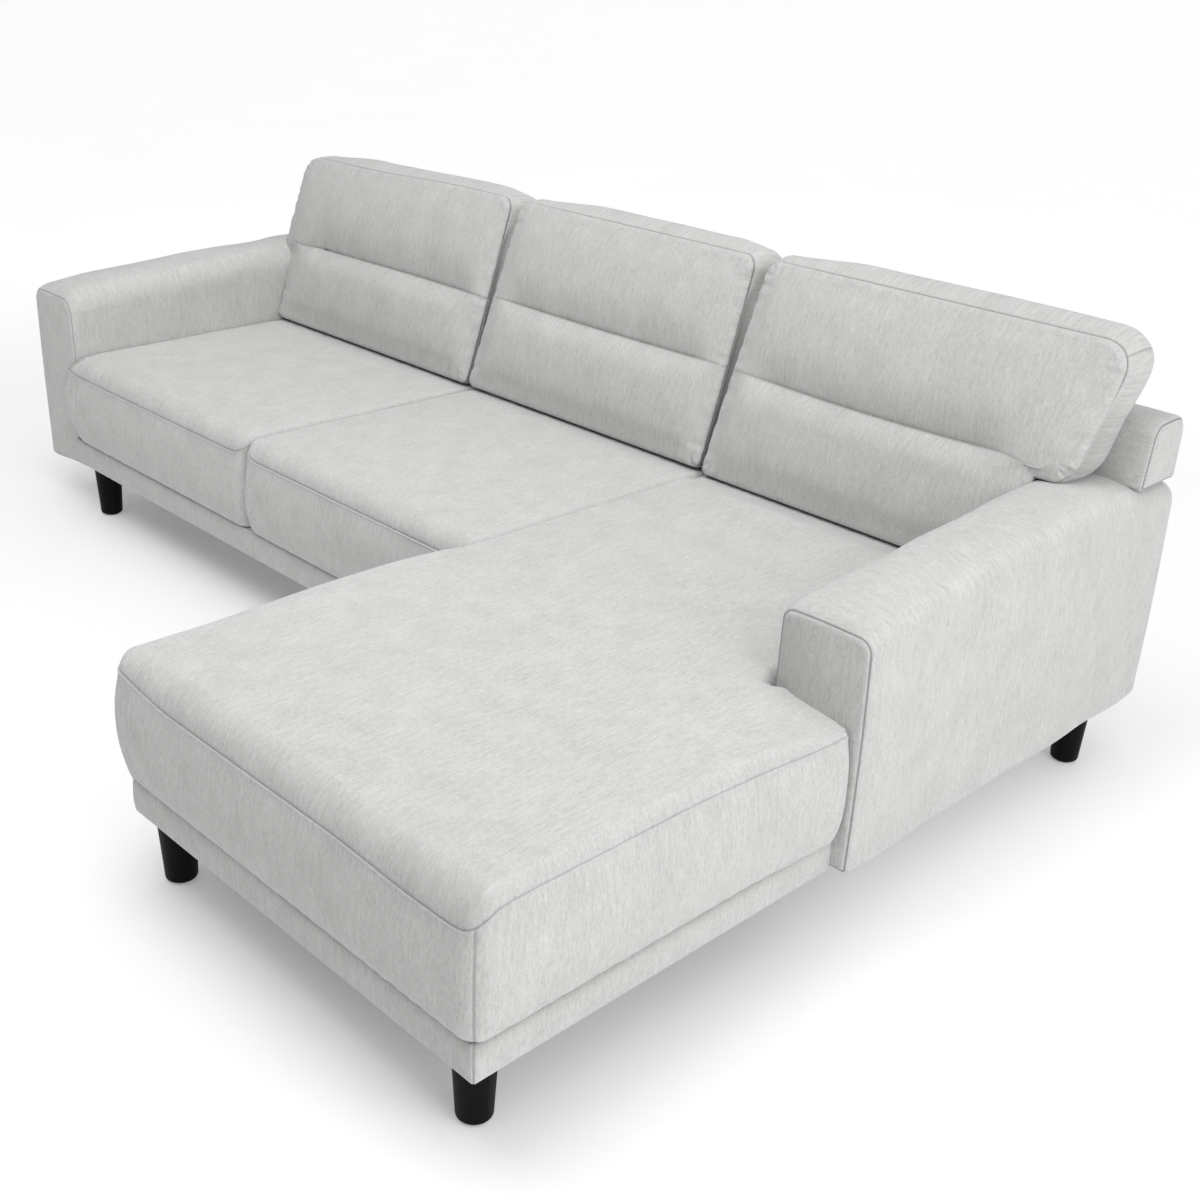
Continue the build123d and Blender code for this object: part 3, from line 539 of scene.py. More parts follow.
def seat_levels(rise):
    """Tucked under at the plinth, a full border, the seam, and the round shoulder of the top panel."""
    lv = [(SEAT_Z0, 20.0), (SEAT_Z0 + 0.15, 11.0), (SEAT_Z0 + 0.6, 5.6), (SEAT_Z0 + 1.6, 2.2), (SEAT_Z0 + 4, -0.4), (SEAT_Z0 + 9, -2.8),
          (SEAT_Z0 + 17, -5.6), (SEAT_Z0 + 28, -8.6), (SEAT_Z0 + 43, -11.4), (SEAT_Z0 + 62, -13.4), (SEAT_Z0 + 84, -14.0),
          (SEAT_Z0 + 106, -13.2), (SEAT_Z0 + 127, -11.0), (SEAT_Z0 + 143, -8.2), (SEAT_Z0 + 155, -5.6), (SEAT_Z0 + 164, -3.6),
          (SEAM_Z - 6, -2.3), (SEAM_Z - 3.6, -2.2), (SEAM_Z - 2.2, -2.7), (SEAM_Z - 1.1, -2.7), (SEAM_Z - 0.4, -1.3), (SEAM_Z, 0.7),
          (SEAM_Z + 0.7, 1.3), (SEAM_Z + 1.6, SEAT_R)]
    return lv + shoulder(SEAM_Z + 1.6, SEAT_R, 50.0, rise, 0.2, 12)


def crown_seat(sl, seed, top_gain, reach, free, press, upright=(), seam_run=None):
    """Crowns the top, puckers the cloth next to the seam and lets the free faces of the border swell; also returns
    painted shade for the seams and for the tuck at the plinth.
    """
    w1, w2, w3 = Waves(seed), Waves(seed + 1), Waves(seed + 2)
    V = sl.V.copy()
    t, wl, on = sl.kind == 2, sl.kind == 1, sl.lix >= 0
    o, s = sl.out(), sl.s()
    k = np.maximum(sl.lix, 0)
    hz, ins = sl.levels[sl.lev, 0], sl.levels[sl.lev, 1]
    top = sl.levels[-1, 0]
    # the seam sits higher on the side faces than on the front
    zs_loop = SEAM_Z + SIDE_UP * sl.blend(sl.nrm[:, 0] ** 2, 26.0)
    if seam_run:
        zs_loop = seam_run(sl, zs_loop)
    zs = zs_loop[k]
    low = SEAT_Z0 + (hz - SEAT_Z0) * (zs - SEAT_Z0) / (SEAM_Z - SEAT_Z0)
    high = zs + (hz - SEAM_Z) * (top - zs) / (top - SEAM_Z)
    V[:, 2] = np.where(wl, np.where(hz < SEAM_Z, low, high), V[:, 2])
    u = membrane(sl, reach, sl.levels[-1, 1])
    V[:, 2] += np.where(t, top_gain * u + u ** 1.5 * (2.0 * w1(sl.pu, sl.pv, 460) + 0.6 * w2(sl.pu, sl.pv, 170)), 0)
    # the back cushions press the rear of the seat down
    cap = press + 30.0 * (1 - smooth((V[:, 1] - 400) / 115))
    V[:, 2] = np.where(V[:, 2] > cap - 6, cap - 6 + 6 * (1 - np.exp(-np.maximum(V[:, 2] - cap + 6, 0) / 6)), V[:, 2])
    # faces against a neighbour stay flat
    fr_loop = sl.blend(free(sl.nrm, sl.loop_x, sl.loop_y), 18.0)
    fr = fr_loop[k]
    held = np.where(on, np.maximum(-ins - 0.6, 0) * (1 - fr), 0)
    V[:, :2] -= o * held[:, None]
    shoulder_p = np.where(on, np.exp(-np.maximum(hz - SEAM_Z, 0) / 14.0) * smooth((hz - SEAM_Z) / 4.0), 0)
    V[:, 2] -= shoulder_p * 0.8 * np.maximum(ripple(seed + 5, s, 38), -0.4)
    band = np.sin(np.pi * np.clip((hz - SEAT_Z0) / (SEAM_Z - SEAT_Z0), 0, 1))
    amp = np.where(wl, band * fr * (1.6 * w3(s, hz * 1.4, 330) + 0.6 * w2(s, hz, 120)), 0)
    seam_p = np.where(wl, np.exp(-np.abs(hz - SEAM_Z + 9) / 9.0) * 0.5 * np.maximum(ripple(seed + 7, s, 30), -0.5), 0)
    low_p = np.where(wl, np.exp(-np.abs(hz - SEAT_Z0 - 10) / 12.0) * 0.7 * ripple(seed + 8, s, 60), 0)
    V[:, :2] += o * (amp - seam_p + low_p)[:, None]
    # painted shade: a thin dark line in the seam groove
    painted_shade = np.where(wl, 0.36 * np.exp(-((hz - SEAM_Z - 0.3) / 0.8) ** 2), 0)
    # painted shade in the crease where the border tucks under at the plinth
    painted_shade = np.maximum(painted_shade, np.where(wl & (hz < SEAT_Z0 + 3), 0.55, 0))
    # upright seams at the outer corners: a groove, with painted shade in it
    for cx, cy in upright:
        i = np.argmin(np.hypot(sl.loop_x - cx, sl.loop_y - cy))
        g = np.abs(s - sl.around[i])
        g = np.minimum(g, sl.around[-1] - g)
        here = wl & (hz <= SEAM_Z)
        V[:, :2] -= o * np.where(here, 1.4 * np.exp(-(g / 1.9) ** 2), 0)[:, None]
        painted_shade = np.maximum(painted_shade, np.where(here, 0.5 * np.exp(-(g / 1.7) ** 2), 0))
    return V, painted_shade


def tucked(z):
    return np.clip((SEAM_Z - z) / (SEAM_Z - SEAT_Z0), 0, 1) ** 1.8


def seat(name, x0, x1, seed, node_name, pull):
    sl = Slab([x0, x1], [-127.0, 655.0], [(0, 0)], seat_levels(42.0), lambda cx, cy: (22.0 if cx < -1000 else 30.0) if cy < 0 else 18.0, zone=150, fine=2.4, coarse=15.0,
              rate=0.13, x_scale=0.42)
    V, painted_shade = crown_seat(sl, seed, 13.0, 120.0, lambda n, x, y: smooth((-n[:, 1] - 0.15) / 0.6), 414.5)
    # the lower front corners draw in
    f = smooth((-40 - V[:, 1]) / 70) * tucked(V[:, 2])
    V[:, 0] += f * (pull[0] * smooth((x0 + 90 - V[:, 0]) / 90) - pull[1] * smooth((V[:, 0] - x1 + 90) / 90))
    if x0 < -1000:
        # the top runs close up to the arm
        lh, li = sl.levels[sl.lev, 0], np.maximum(sl.levels[sl.lev, 1], 0) * 0.42
        up_to = np.where(sl.kind == 2, li.max() * smooth((x0 + li.max() + 90 - V[:, 0]) / 90), np.where((lh > SEAM_Z) & (sl.out()[:, 0] < 0), li * np.clip(-sl.out()[:, 0], 0, 1), 0))
        V[:, 0] -= 0.72 * up_to * smooth((V[:, 1] + 90) / 60)
        swell = np.sin(np.pi * np.clip((V[:, 2] - SEAT_Z0) / (SEAM_Z + 30 - SEAT_Z0), 0, 1))
        V[:, 0] -= 52.0 * swell ** 0.6 * smooth((x0 + 70 - V[:, 0]) / 70) * smooth((-101 - V[:, 1]) / 10)
        # painted shade on the turned left end of the border, in the crevice against the front of the arm
        edge = (sl.kind == 1) & (sl.out()[:, 0] < -0.04) & (sl.V[:, 1] < -98) & (sl.V[:, 0] < -1100)
        painted_shade = np.maximum(painted_shade, np.where(edge, 0.42 * smooth((-sl.out()[:, 0] - 0.04) / 0.36), 0))
        V[:, 0] -= 23.0 * smooth((-850 - V[:, 0]) / 300) * smooth((V[:, 1] + 100) / 620)
    ob = build(name, sl, V, XYZ, O0, FAB, seam=painted_shade)
    return finish_piece(ob, "sofa", [node_name])


seat("seat_left", -1158.0, -355.6, 11, "left_seat_cushion", (18.0, 5.0))
seat("seat_middle", -350.4, 428.5, 23, "middle_seat_cushion", (5.0, 0.0))


def chaise_free(n, x, y):
    front = smooth((-n[:, 1] - 0.15) / 0.6) * (y < -500)
    right = smooth((n[:, 0] - 0.15) / 0.6) * (x > 1220) * smooth((-98 - y) / 14)
    left = smooth((-n[:, 0] - 0.15) / 0.6) * (x < 600) * smooth((-150 - y) / 50)
    return np.maximum(np.maximum(front, right), left)


def chaise_seam(sl, z):
    """The seam climbs to the left front corner and sits a little lower at the right one."""
    x, y = sl.loop_x, sl.loop_y
    at_front = smooth((-800 - y) / 40)
    z = np.maximum(z, SEAM_Z + 24.0 * np.clip(1 - (x - 426) / 165, 0, 1) ** 1.5 * at_front)
    z = np.where((x > 1165) & (y > -140) & (y < -60), SEAM_Z + SIDE_UP, z)
    z = z - 12.0 * smooth((y + 500) / 350) * (x > 1165) * (y < -60)
    z = z - 8.0 * smooth((x - 1000) / 200) * np.exp(-np.maximum(y + 853, 0) / 30.0)
    return z - 4.0 * np.exp(-(np.hypot(x - 1306, y + 845) / 18.0) ** 2)


ch = Slab([426.0, 1157.5, 1314.0], [-853.0, -104.0, 655.0], [(0, 0), (1, 0), (0, 1)], seat_levels(50.0),
          lambda cx, cy: 30.0 if cy < -500 else 22.0, zone=150, fine=2.2, coarse=17.0, rate=0.12, x_scale=0.38)
Vc, Sc = crown_seat(ch, 37, 15.0, 150.0, chaise_free, 408.0, upright=[(1314.0, -853.0), (426.0, -853.0)], seam_run=chaise_seam)
# behind the corner the left edge stands clear of the next cushion
Vc[:, 0] += 5.5 * smooth((Vc[:, 1] + 190) / 60) * smooth((560 - Vc[:, 0]) / 120)
Vc[:, 0] -= 7.0 * smooth((520 - Vc[:, 0]) / 90) * smooth((-130 - Vc[:, 1]) / 80) * smooth((Vc[:, 2] - 215) / 80)
# the end by the arm draws in towards the plinth
Vc[:, 1] -= 6.0 * smooth((Vc[:, 1] + 200) / 93) * smooth((Vc[:, 0] - 1180) / 60) * tucked(Vc[:, 2])
Vc[:, 0] += 8.0 * smooth((Vc[:, 1] + 330) / 200) * smooth((Vc[:, 0] - 1230) / 60)
# in front of the arm the top runs close up to its panel and falls to the side
Lh, Li = ch.levels[ch.lev, 0], ch.levels[ch.lev, 1]
near_arm = smooth((Vc[:, 0] - 1165) / 26)
over_end = np.where(ch.kind == 2, ch.levels[-1, 1] * smooth((Vc[:, 1] + 290) / 136), np.where((Lh > SEAM_Z) & (ch.out()[:, 1] > 0), np.maximum(Li, 0) * np.clip(ch.out()[:, 1], 0, 1), 0))
Vc[:, 1] += 0.88 * near_arm * over_end * smooth((Vc[:, 1] + 320) / 100)
Vc[:, 2] -= 0.4 * np.maximum(Vc[:, 2] - 396, 0) * smooth((Vc[:, 0] - 1165) / 100) * smooth((Vc[:, 1] + 420) / 200)
fall = np.interp(Vc[:, 0], (1165, 1188, 1209, 1237, 1265, 1288, 1307), (0.0, 0.27, 0.42, 0.48, 0.58, 0.72, 0.84)) * smooth((Vc[:, 1] + 250) / 140)
Vc[:, 2] -= fall * np.maximum(Vc[:, 2] - 387, 0)
# the end wall that faces the arm panel, for painted contact shade
arm_contact_shade = (ch.kind == 1) & (ch.out()[:, 1] > 0.5) & (Vc[:, 0] > 1172) & (Vc[:, 1] > -150)
# the painted seam shade is weaker on the right side, where the side lamp falls
Sc *= 1 - 0.55 * np.where((ch.kind == 1) & (np.abs(Lh - SEAM_Z) < 4) & (Vc[:, 0] > 1200), smooth((ch.out()[:, 0] - 0.4) / 0.4), 0)
# painted shade on the end wall that faces the arm panel, fading out near the top of the shoulder
Sc = np.maximum(Sc, np.where(arm_contact_shade, 0.6 * smooth((0.88 - (Lh - SEAM_Z) / (ch.levels[-1, 0] - SEAM_Z)) / 0.3), 0))
Vc[:, 2] += 8.0 * smooth((600 - Vc[:, 0]) / 150) * smooth((Vc[:, 1] + 720) / 300) * (1 - smooth((Vc[:, 1] + 330) / 200)) * smooth((Vc[:, 2] - 390) / 25)
finish_piece(build("seat_chaise", ch, Vc, XYZ, O0, FAB, seam=Sc), "sofa", ["chaise_seat_cushion"])

# ------------------------------------------------------------------ arms
ARM_Y = (-110.0, -98.0, -88.0, -70.0, -40.0, 0.0, 100.0, 200.0, 300.0, 450.0, 600.0, 680.0, 730.0, 800.0, 845.0, 853.0)
ARM_UP_L = (0.0, 0.0, 4.0, 11.0, 18.0, 23.5, 30.0, 35.0, 40.0, 46.0, 51.0, 51.0, 46.0, 38.0, 33.0, 29.0)
ARM_UP_R = (0.0, 0.0, 5.0, 13.0, 20.0, 25.0, 31.0, 36.0, 42.0, 51.0, 58.5, 56.0, 47.0, 41.0, 37.0, 33.0)


def arm(name, x0, x1, outer, seed, ups, lift, splay, yf, z0, z1, r_out, r_in, nodes):
    """The top swells behind the sewn front panel and rises a little to the rear."""
    yr = -853.0          # yf, yr: heights of the front and rear faces along -Y
    lv = [(yr, 14.0), (yr + 0.8, 8.0), (yr + 2.6, 4.0), (yr + 6, 1.4), (yr + 12, 0.2), (yr + 20, -0.6)]
    for f in np.linspace(0, 1, 34)[1:-1]:
        lv.append((yr + 20 + (yf - 44 - yr - 20) * f, -2.0))
    lv += [(yf - 44, -2.0), (yf - 34, -1.9), (yf - 26, -1.7), (yf - 19, -1.4), (yf - 14, -1.0), (yf - 10, -0.5), (yf - 7, 0.1), (yf - 5, 0.8), (yf - 3.6, 1.8),
           (yf - 2.8, 3.4), (yf - 2.6, 4.8), (yf - 1.8, 5.8), (yf - 0.6, 6.6), (yf + 0.8, 8.4), (yf + 1.8, 12.0)]

    def rad(cx, cz):
        if cz > 300:
            return r_out if cx == outer else r_in
        return 8.0

    sl = Slab([x0, x1], [z0, z1], [(0, 0)], lv, rad, zone=60, fine=2.2, coarse=12.0, rate=0.18)
    V = sl.V.copy()
    w1, w2 = Waves(seed), Waves(seed + 1)
    o, s = sl.out(), sl.s()
    wl, on = sl.kind == 1, sl.lix >= 0
    x, z, h = V[:, 0], V[:, 1].copy(), V[:, 2]
    mid, half = (x0 + x1) / 2, (x1 - x0) / 2
    rise = np.interp(-h + (yf - 102) * smooth((h + 100) / 150), ARM_Y, ups) * lift
    dome = np.clip(1 - ((x - mid) / half) ** 2, 0, 1)
    body = smooth((yf - 3 - h) / 60)
    V[:, 1] += smooth((z - 330) / 205) * np.maximum(rise - 13 * body, 0) + smooth((z - 470) / 70) * dome * (2.5 + 11.0 * body)
    side = np.where(on, np.abs(o[:, 0]), 0)
    bow = side * 3.0 * np.sin(np.pi * np.clip((z - 130) / 420, 0, 1))
    away = smooth((yf - 10 - h) / 60) * smooth((h + 853) / 40)
    wob = np.where(wl, away * (1.4 * w1(s, h, 380) + 0.5 * w2(s, h, 140)), 0)
    puck = np.where(wl & (h < yf - 4), np.exp(-np.maximum(yf - 7 - h, 0) / 22.0) * 0.5 * np.maximum(ripple(seed + 3, s, 32), -0.4), 0)
    V[:, :2] += o * (bow + wob - puck)[:, None]
    t = sl.kind == 2
    u = membrane(sl, 45.0, sl.levels[-1, 1])
    V[:, 2] += np.where(t, 7.0 * u + u * 0.8 * w2(sl.pu, sl.pv, 160) - 0.5 * np.exp(-sl.de / 14.0) * ripple(seed + 4, sl.along, 26), 0)
    V[:, 0] += splay * smooth((102 - V[:, 2]) / 640) * (1 - smooth((-V[:, 2] - 690) / 90)) * smooth((V[:, 0] - x0) / (x1 - x0))
    if not splay:
        # the front end stands out a little at the outer side
        V[:, 0] += 8.0 * smooth((V[:, 2] + 300) / 380) * smooth((x - mid) / half)
    if splay:
        V[:, 1] -= (4.0 + 11.0 * smooth((mid + 60 - x) / 140)) * smooth((230 - z) / 110) * smooth((V[:, 2] + 500) / 500)
    lh = sl.levels[sl.lev, 0]
    # painted shade in the groove of the seam round the front panel
    painted_shade = np.where(wl, (0.6 if x0 < 0 else 0.7) * np.exp(-((lh - (yf - 2.65)) / 0.5) ** 2), 0)
    ob = build(name, sl, V, ((1, 0, 0), (0, 0, 1), (0, -1, 0)), O0, FAB, turn=True, seam=painted_shade)
    return finish_piece(ob, "sofa", nodes)


arm("arm_left", -1353.0, -1161.0, -1353.0, 51, ARM_UP_L, 1.12, -23.0, 110.0, 117.0, 558.0, 32.0, 44.0, [f"left_arm_{p}_panel" for p in ("front", "top", "outer", "inner", "rear")])
arm("arm_right", 1161.0, 1329.0, 1329.0, 63, ARM_UP_R, 1.0, 0.0, 102.0, 130.5, 545.0, 26.0, 25.0, [f"right_arm_{p}_panel" for p in ("front", "top", "outer", "inner", "rear")])

# ------------------------------------------------------------------ low back
LEAN = math.tan(math.radians(8.0))


def back_y(z):
    return 714.0 + (z - 589.0) * LEAN


def back_piece(name, x0, x1, z0, z1, end0, end1, seed, nodes, rtop):
    """A length of the low back. Its section leans at the front; sewn ends show where end is True."""
    depth = 838.5 - 714.0

    def ends(x, sgn, sewn):
        if sewn:
            prof = [(2.0, 12.0), (1.2, 9.0), (0.2, 7.2), (-1.2, 6.2), (-2.2, 5.6), (-2.3, 4.4), (-3.0, 2.6), (-4.2, 1.2),
                    (-6.5, 0.4), (-12.0, 0.0), (-24, 0.0)]
        else:
            prof = [(0.0, 7.0), (-0.8, 4.0), (-2.6, 1.6), (-6.0, 0.3), (-12.0, 0.0), (-24, 0.0)]
        return [(x + sgn * a, b) for a, b in prof]

    lv = ends(x0, -1, end0)
    inner = np.linspace(x0 + 24, x1 - 24, max(8, int((x1 - x0) / 45)))[1:-1]
    lv += [(float(v), -1.2) for v in inner]
    lv += ends(x1, 1, end1)[::-1]

    def rad(cy, cz):
        if cz > (z0 + z1) / 2:
            return rtop if cy < 60 else rtop * 1.15
        return 7.0

    sl = Slab([0.0, depth], [z0, z1], [(0, 0)], lv, rad, zone=min(50, (z1 - z0) / 2 - 1), fine=2.6, coarse=13.0, rate=0.22)
    V = sl.V.copy()
    w1, w2 = Waves(seed), Waves(seed + 1)
    o, s = sl.out(), sl.s()
    wl = sl.kind == 1
    V[:, :2] += o * np.where(wl, 1.2 * w1(s, V[:, 2], 420) + 0.5 * w2(s, V[:, 2], 150), 0)[:, None]
    up = np.where(wl, np.clip(o[:, 1], 0, 1), 0)
    V[:, 1] += up * 3.0 * np.clip(1 - ((V[:, 0] - depth / 2) / (depth / 2)) ** 2, 0, 1)
    f = 1 - np.clip(V[:, 0] / depth, 0, 1)
    z = V[:, 1]
    V[:, 0] = V[:, 0] + 714.0 + f * (z - 589.0) * LEAN
    sgn = np.where(sl.kind == 2, 1.0, np.where(sl.kind == 0, -1.0, 0.0))
    V[:, 2] += sgn * 2.6 * (1 - np.exp(-sl.de / 30))
    if -1200 < x0 < -1100:
        # the left end follows the splayed inner face of the arm
        V[:, 2] -= 21.0 * smooth((-1090 - V[:, 2]) / 60) * (1 - smooth((V[:, 0] - 690) / 90))
    lx = sl.levels[sl.lev, 0]
    # painted shade in the seam grooves of the sewn ends
    painted_shade = np.zeros(len(V))
    if end0:
        painted_shade = np.maximum(painted_shade, np.where(wl, np.exp(-((lx - (x0 + 2.25)) / 0.5) ** 2), 0))
    if end1:
        painted_shade = np.maximum(painted_shade, np.where(wl, np.exp(-((lx - (x1 - 2.25)) / 0.5) ** 2), 0))
    ob = build(name, sl, V, ((0, 1, 0), (0, 0, 1), (1, 0, 0)), O0, FAB, seam=painted_shade)
    return finish_piece(ob, "sofa", nodes)


back_piece("back_top_left", -1333.0, 429.0, 589.0, 711.0, True, False, 71, ["left_back_upper_pad", "left_back_cap_pad"], 26.0)
back_piece("back_top_right", 433.0, 1327.0, 589.0, 711.0, False, True, 83, ["right_back_upper_pad", "right_back_cap_pad", "back_end_pads"], 26.0)
back_piece("back_low_left", -1159.0, 429.0, 132.5, 587.5, False, False, 91, ["left_back_front_pad", "left_back_rear_panel"], 8.0)
back_piece("back_low_right", 433.0, 1159.0, 132.5, 587.5, False, False, 97, ["right_back_front_pad", "right_back_rear_panel"], 8.0)

# ------------------------------------------------------------------ plinth
def plinth_levels():
    return [(124.0, 8.0), (124.4, 5.2), (125.5, 3.0), (127.6, 1.3), (130.6, 0.2), (134, -0.6), (142, -1.2), (154, -1.6), (168, -1.5), (179, -1.0),
            (185, -0.5), (188.6, 0.2), (190.8, 1.2), (192.2, 2.6), (192.8, 5.4)]


def plinth(name, xb, yb, blocks, seams_x, nodes, seed, corner_seams=()):
    sl = Slab(xb, yb, blocks, plinth_levels(), lambda cx, cy: 7.0 if True else 0, zone=8.6, fine=2.2, coarse=16.0, xpts=seams_x, rate=0.2)
    V = sl.V.copy()
    w1 = Waves(seed)
    o, s = sl.out(), sl.s()
    wl = sl.lix >= 0
    z = V[:, 2]
    face = np.sin(np.pi * np.clip((z - 125) / 68, 0, 1))
    V[:, :2] += o * np.where(wl, face * 0.8 * w1(s, z * 1.5, 240), 0)[:, None]
    # painted shade on the top of the face, under the overhang of the seats, most on the side
    overhang_shade = np.interp(sl.levels[sl.lev, 0], (168.0, 179.0, 185.0, 188.6, 190.8), (0.0, 0.13, 0.32, 0.44, 0.5))
    painted_shade = np.where(wl, overhang_shade * np.where(sl.levels[sl.lev, 0] > 191.5, 1.0, 0.35 + 0.65 * smooth((o[:, 0] - 0.2) / 0.5)), 0)
    for sx in seams_x:
        g = np.exp(-((sl.pu - sx) / 1.7) ** 2) * np.where(wl & (o[:, 1] < -0.5), 2.4, 0)
        V[:, 1] += g
    # upright corner seams: a groove, with painted shade in it
    for cx, cy in corner_seams:
        r = np.hypot(sl.pu - cx, sl.pv - cy)
        g = np.exp(-(r / 1.9) ** 2) * np.where(wl, 1.8, 0)
        V[:, :2] -= o * g[:, None]
        painted_shade = np.maximum(painted_shade, np.where(wl, 0.5 * np.exp(-(r / 1.9) ** 2), 0))
    ob = build(name, sl, V, XYZ, O0, FAB, seam=painted_shade)
    return finish_piece(ob, "sofa", nodes)


plinth("plinth_seat", [-1182.0, 430.0], [-121.0, -103.0], [(0, 0)], [-353.0], ["seat_plinth_cover"], 101, corner_seams=[(-1182.0, -121.0)])
plinth("plinth_chaise", [434.0, 452.0, 1289.0, 1307.0], [-847.0, -829.0, -101.0, 690.0],
       [(0, 0), (1, 0), (2, 0), (0, 1), (2, 1), (0, 2)], [], ["chaise_plinth_front", "chaise_plinth_left", "chaise_plinth_right"], 107,
       corner_seams=[(1307.0, -847.0), (434.0, -847.0)])

# ------------------------------------------------------------------ back cushions
TH = math.radians(19.9)
ES = (0.0, math.sin(TH), math.cos(TH))
EN = (0.0, -math.cos(TH), math.sin(TH))
ORG = (0.0, 521.5, 418.5)
S_TOP, S_TUCK, S_STEP = 469.0, 227.0, 197.0


def thick(s):
    """Depth of a cushion from front to back: it rests on the low back and swells out above it."""
    return np.interp(s, (0, 160, 316, 350, 395, 440, 470), (166.0, 132.0, 101.0, 106.0, 114.0, 112.0, 104.0))


def cushion_levels():
    # heights run from -1 (rear seam) to 0 (front seam), scaled by the thickness, then millimetres in front
    lv = [(-1.0, 34.0), (-0.985, 22.0), (-0.95, 12.0), (-0.90, 5.5), (-0.84, 1.2), (-0.76, -3.0), (-0.66, -6.4), (-0.55, -8.4), (-0.44, -8.8),
          (-0.33, -7.9), (-0.23, -6.2), (-0.15, -4.4), (-0.09, -2.6), (-0.055, -1.3), (-0.032, -0.2), (-0.018, 0.9), (-0.009, 2.2), (0.0, 3.4),
          (0.9, 2.9), (1.8, 2.3)]
    return lv + shoulder(1.8, 2.3, 20.0, 11.0, 0.27, 7)


def cushion(name, body, lo, hi, left_over, right_over, seed, crown, sag, nodes):
    """lo, hi: sides between the arms; left_over, right_over: how far the upper part reaches past them."""
    lv = cushion_levels()
    if left_over:
        xb = [lo - left_over, lo, hi]
        yb = [0.0, S_STEP, S_TOP]
        blocks = [(1, 0), (0, 1), (1, 1)]
    elif right_over:
        xb = [lo, hi, hi + right_over]
        yb = [0.0, S_STEP, S_TOP]
        blocks = [(0, 0), (0, 1), (1, 1)]
    else:
        xb, yb, blocks = [lo, hi], [0.0, S_TOP], [(0, 0)]

    def rad(cx, cs):
        end = (left_over and cx < lo - 1) or (right_over and cx > hi + 1)
        if end:
            return 54.0 if cs > S_TOP - 1 else (34.0 if left_over else 56.0)
        return 34.0 if cs > S_TOP - 1 else 20.0

    sl = Slab(xb, yb, blocks, lv, rad, zone=60, fine=2.6, coarse=12.0, ypts=[S_TUCK] + ([S_TOP - 40.0] if right_over else []), rate=0.13)
    V = sl.V.copy()
    w1, w2, w3 = Waves(seed), Waves(seed + 1), Waves(seed + 2)
    x, s = sl.pu, sl.pv
    t, wl, on = sl.kind == 2, sl.kind == 1, sl.lix >= 0
    d = sl.de
    lv_h = sl.levels[sl.lev, 0]
    # the tuck runs level and dips to the inside corner at an end that reaches over an arm
    run = 1.6 * np.sin(x / 170.0 + seed)
    dip = np.zeros(len(V))
    if right_over:
        run = run - 10.0 * np.sin(np.pi * np.clip((x - lo) / (hi - lo), 0, 1))
        dip = -20.0 * smooth((x - (hi - 60)) / 70.0) * (1 - smooth((x - hi - 4) / 36))
    if left_over:
        run = run - 8.0 - 9.0 * smooth((lo + 130 - x) / 150)
    tuck = S_TUCK + run + dip
    side = np.clip(np.abs(s - S_TUCK) / 120.0, 0, 1)
    V[:, 1] += (run + np.where(t, dip * smooth(d / 36.0), 0)) * (1 - smooth(side))
    dt = np.abs(s - S_TUCK) * np.where(s < S_TUCK, (tuck - 0) / S_TUCK, (S_TOP - tuck) / (S_TOP - S_TUCK))
    below = s < S_TUCK
    ends = np.minimum(x - lo, hi - x)
    hold = smooth((ends - 16) / 120.0)
    u = membrane(sl, 82.0, sl.levels[-1, 1])
    near = np.clip(1 - dt / np.where(below, 62.0, 96.0), 0, 1)
    deep = 24.0 * hold * near ** 2.0
    line = (0.8 + 1.4 * hold) * np.exp(-(dt / 3.4) ** 2) * smooth(ends / 10.0)
    puckt = near ** 1.5 * (0.2 + 0.8 * hold) * 1.9 * np.maximum(ripple(seed + 3, x + 0.15 * (V[:, 1] - tuck), 52), -0.6)
    soft = u ** 1.3 * (2.2 * w1(x, s, 330) + 0.7 * w2(x, s * 0.7, 120))
    rolls = np.where(below, 29.0, 25.0)
    V[:, 2] = np.where(t, V[:, 2] + rolls * u - deep * np.minimum(1, u * 1.8) - line - puckt * u + soft, V[:, 2])
    q = np.clip(np.where(below, s / S_TUCK, (s - S_TUCK) / (S_TOP - S_TUCK)), 0, 1)
    V[:, 2] += np.where(t, 4 * np.where(below, 9.0, 5.0) * q * (1 - q) * smooth(d / 70.0), 0)
    # short creases run in from the front seam
    crease = np.where(t, np.exp(-d / 26.0), np.where(lv_h > 0, smooth(lv_h / 8.0), 0))
    V[:, 2] -= crease * 1.5 * np.maximum(ripple(seed + 4, np.where(t, sl.along, np.where(np.abs(sl.out()[:, 1]) > 0.5, x, s)), 44), -0.5)
    # wall
    o, sr = sl.out(), sl.s()
    body_w = np.where(wl & (lv_h < 0), np.sin(np.pi * np.clip(-lv_h, 0, 1)), 0)
    amp = body_w * (1.5 * w3(sr, lv_h * 120, 300) + 0.6 * w2(sr, lv_h * 100, 110)) * (1 - 0.8 * np.clip(o[:, 1], 0, 1))
    pk = np.where(wl & (lv_h <= 0), np.exp(-np.abs(lv_h + 0.12) / 0.10), 0) * 0.45 * np.maximum(ripple(seed + 6, sr, 34), -0.5)
    V[:, :2] += o * (amp - pk)[:, None]
    # the top of the gusset crowns up behind the seam, the bottom lies flat
    up = np.where(on & (lv_h < 0), np.clip(o[:, 1], 0, 1), 0)
    V[:, 1] += up * crown * np.sin(np.pi * np.clip(-lv_h, 0, 1) ** 0.9)
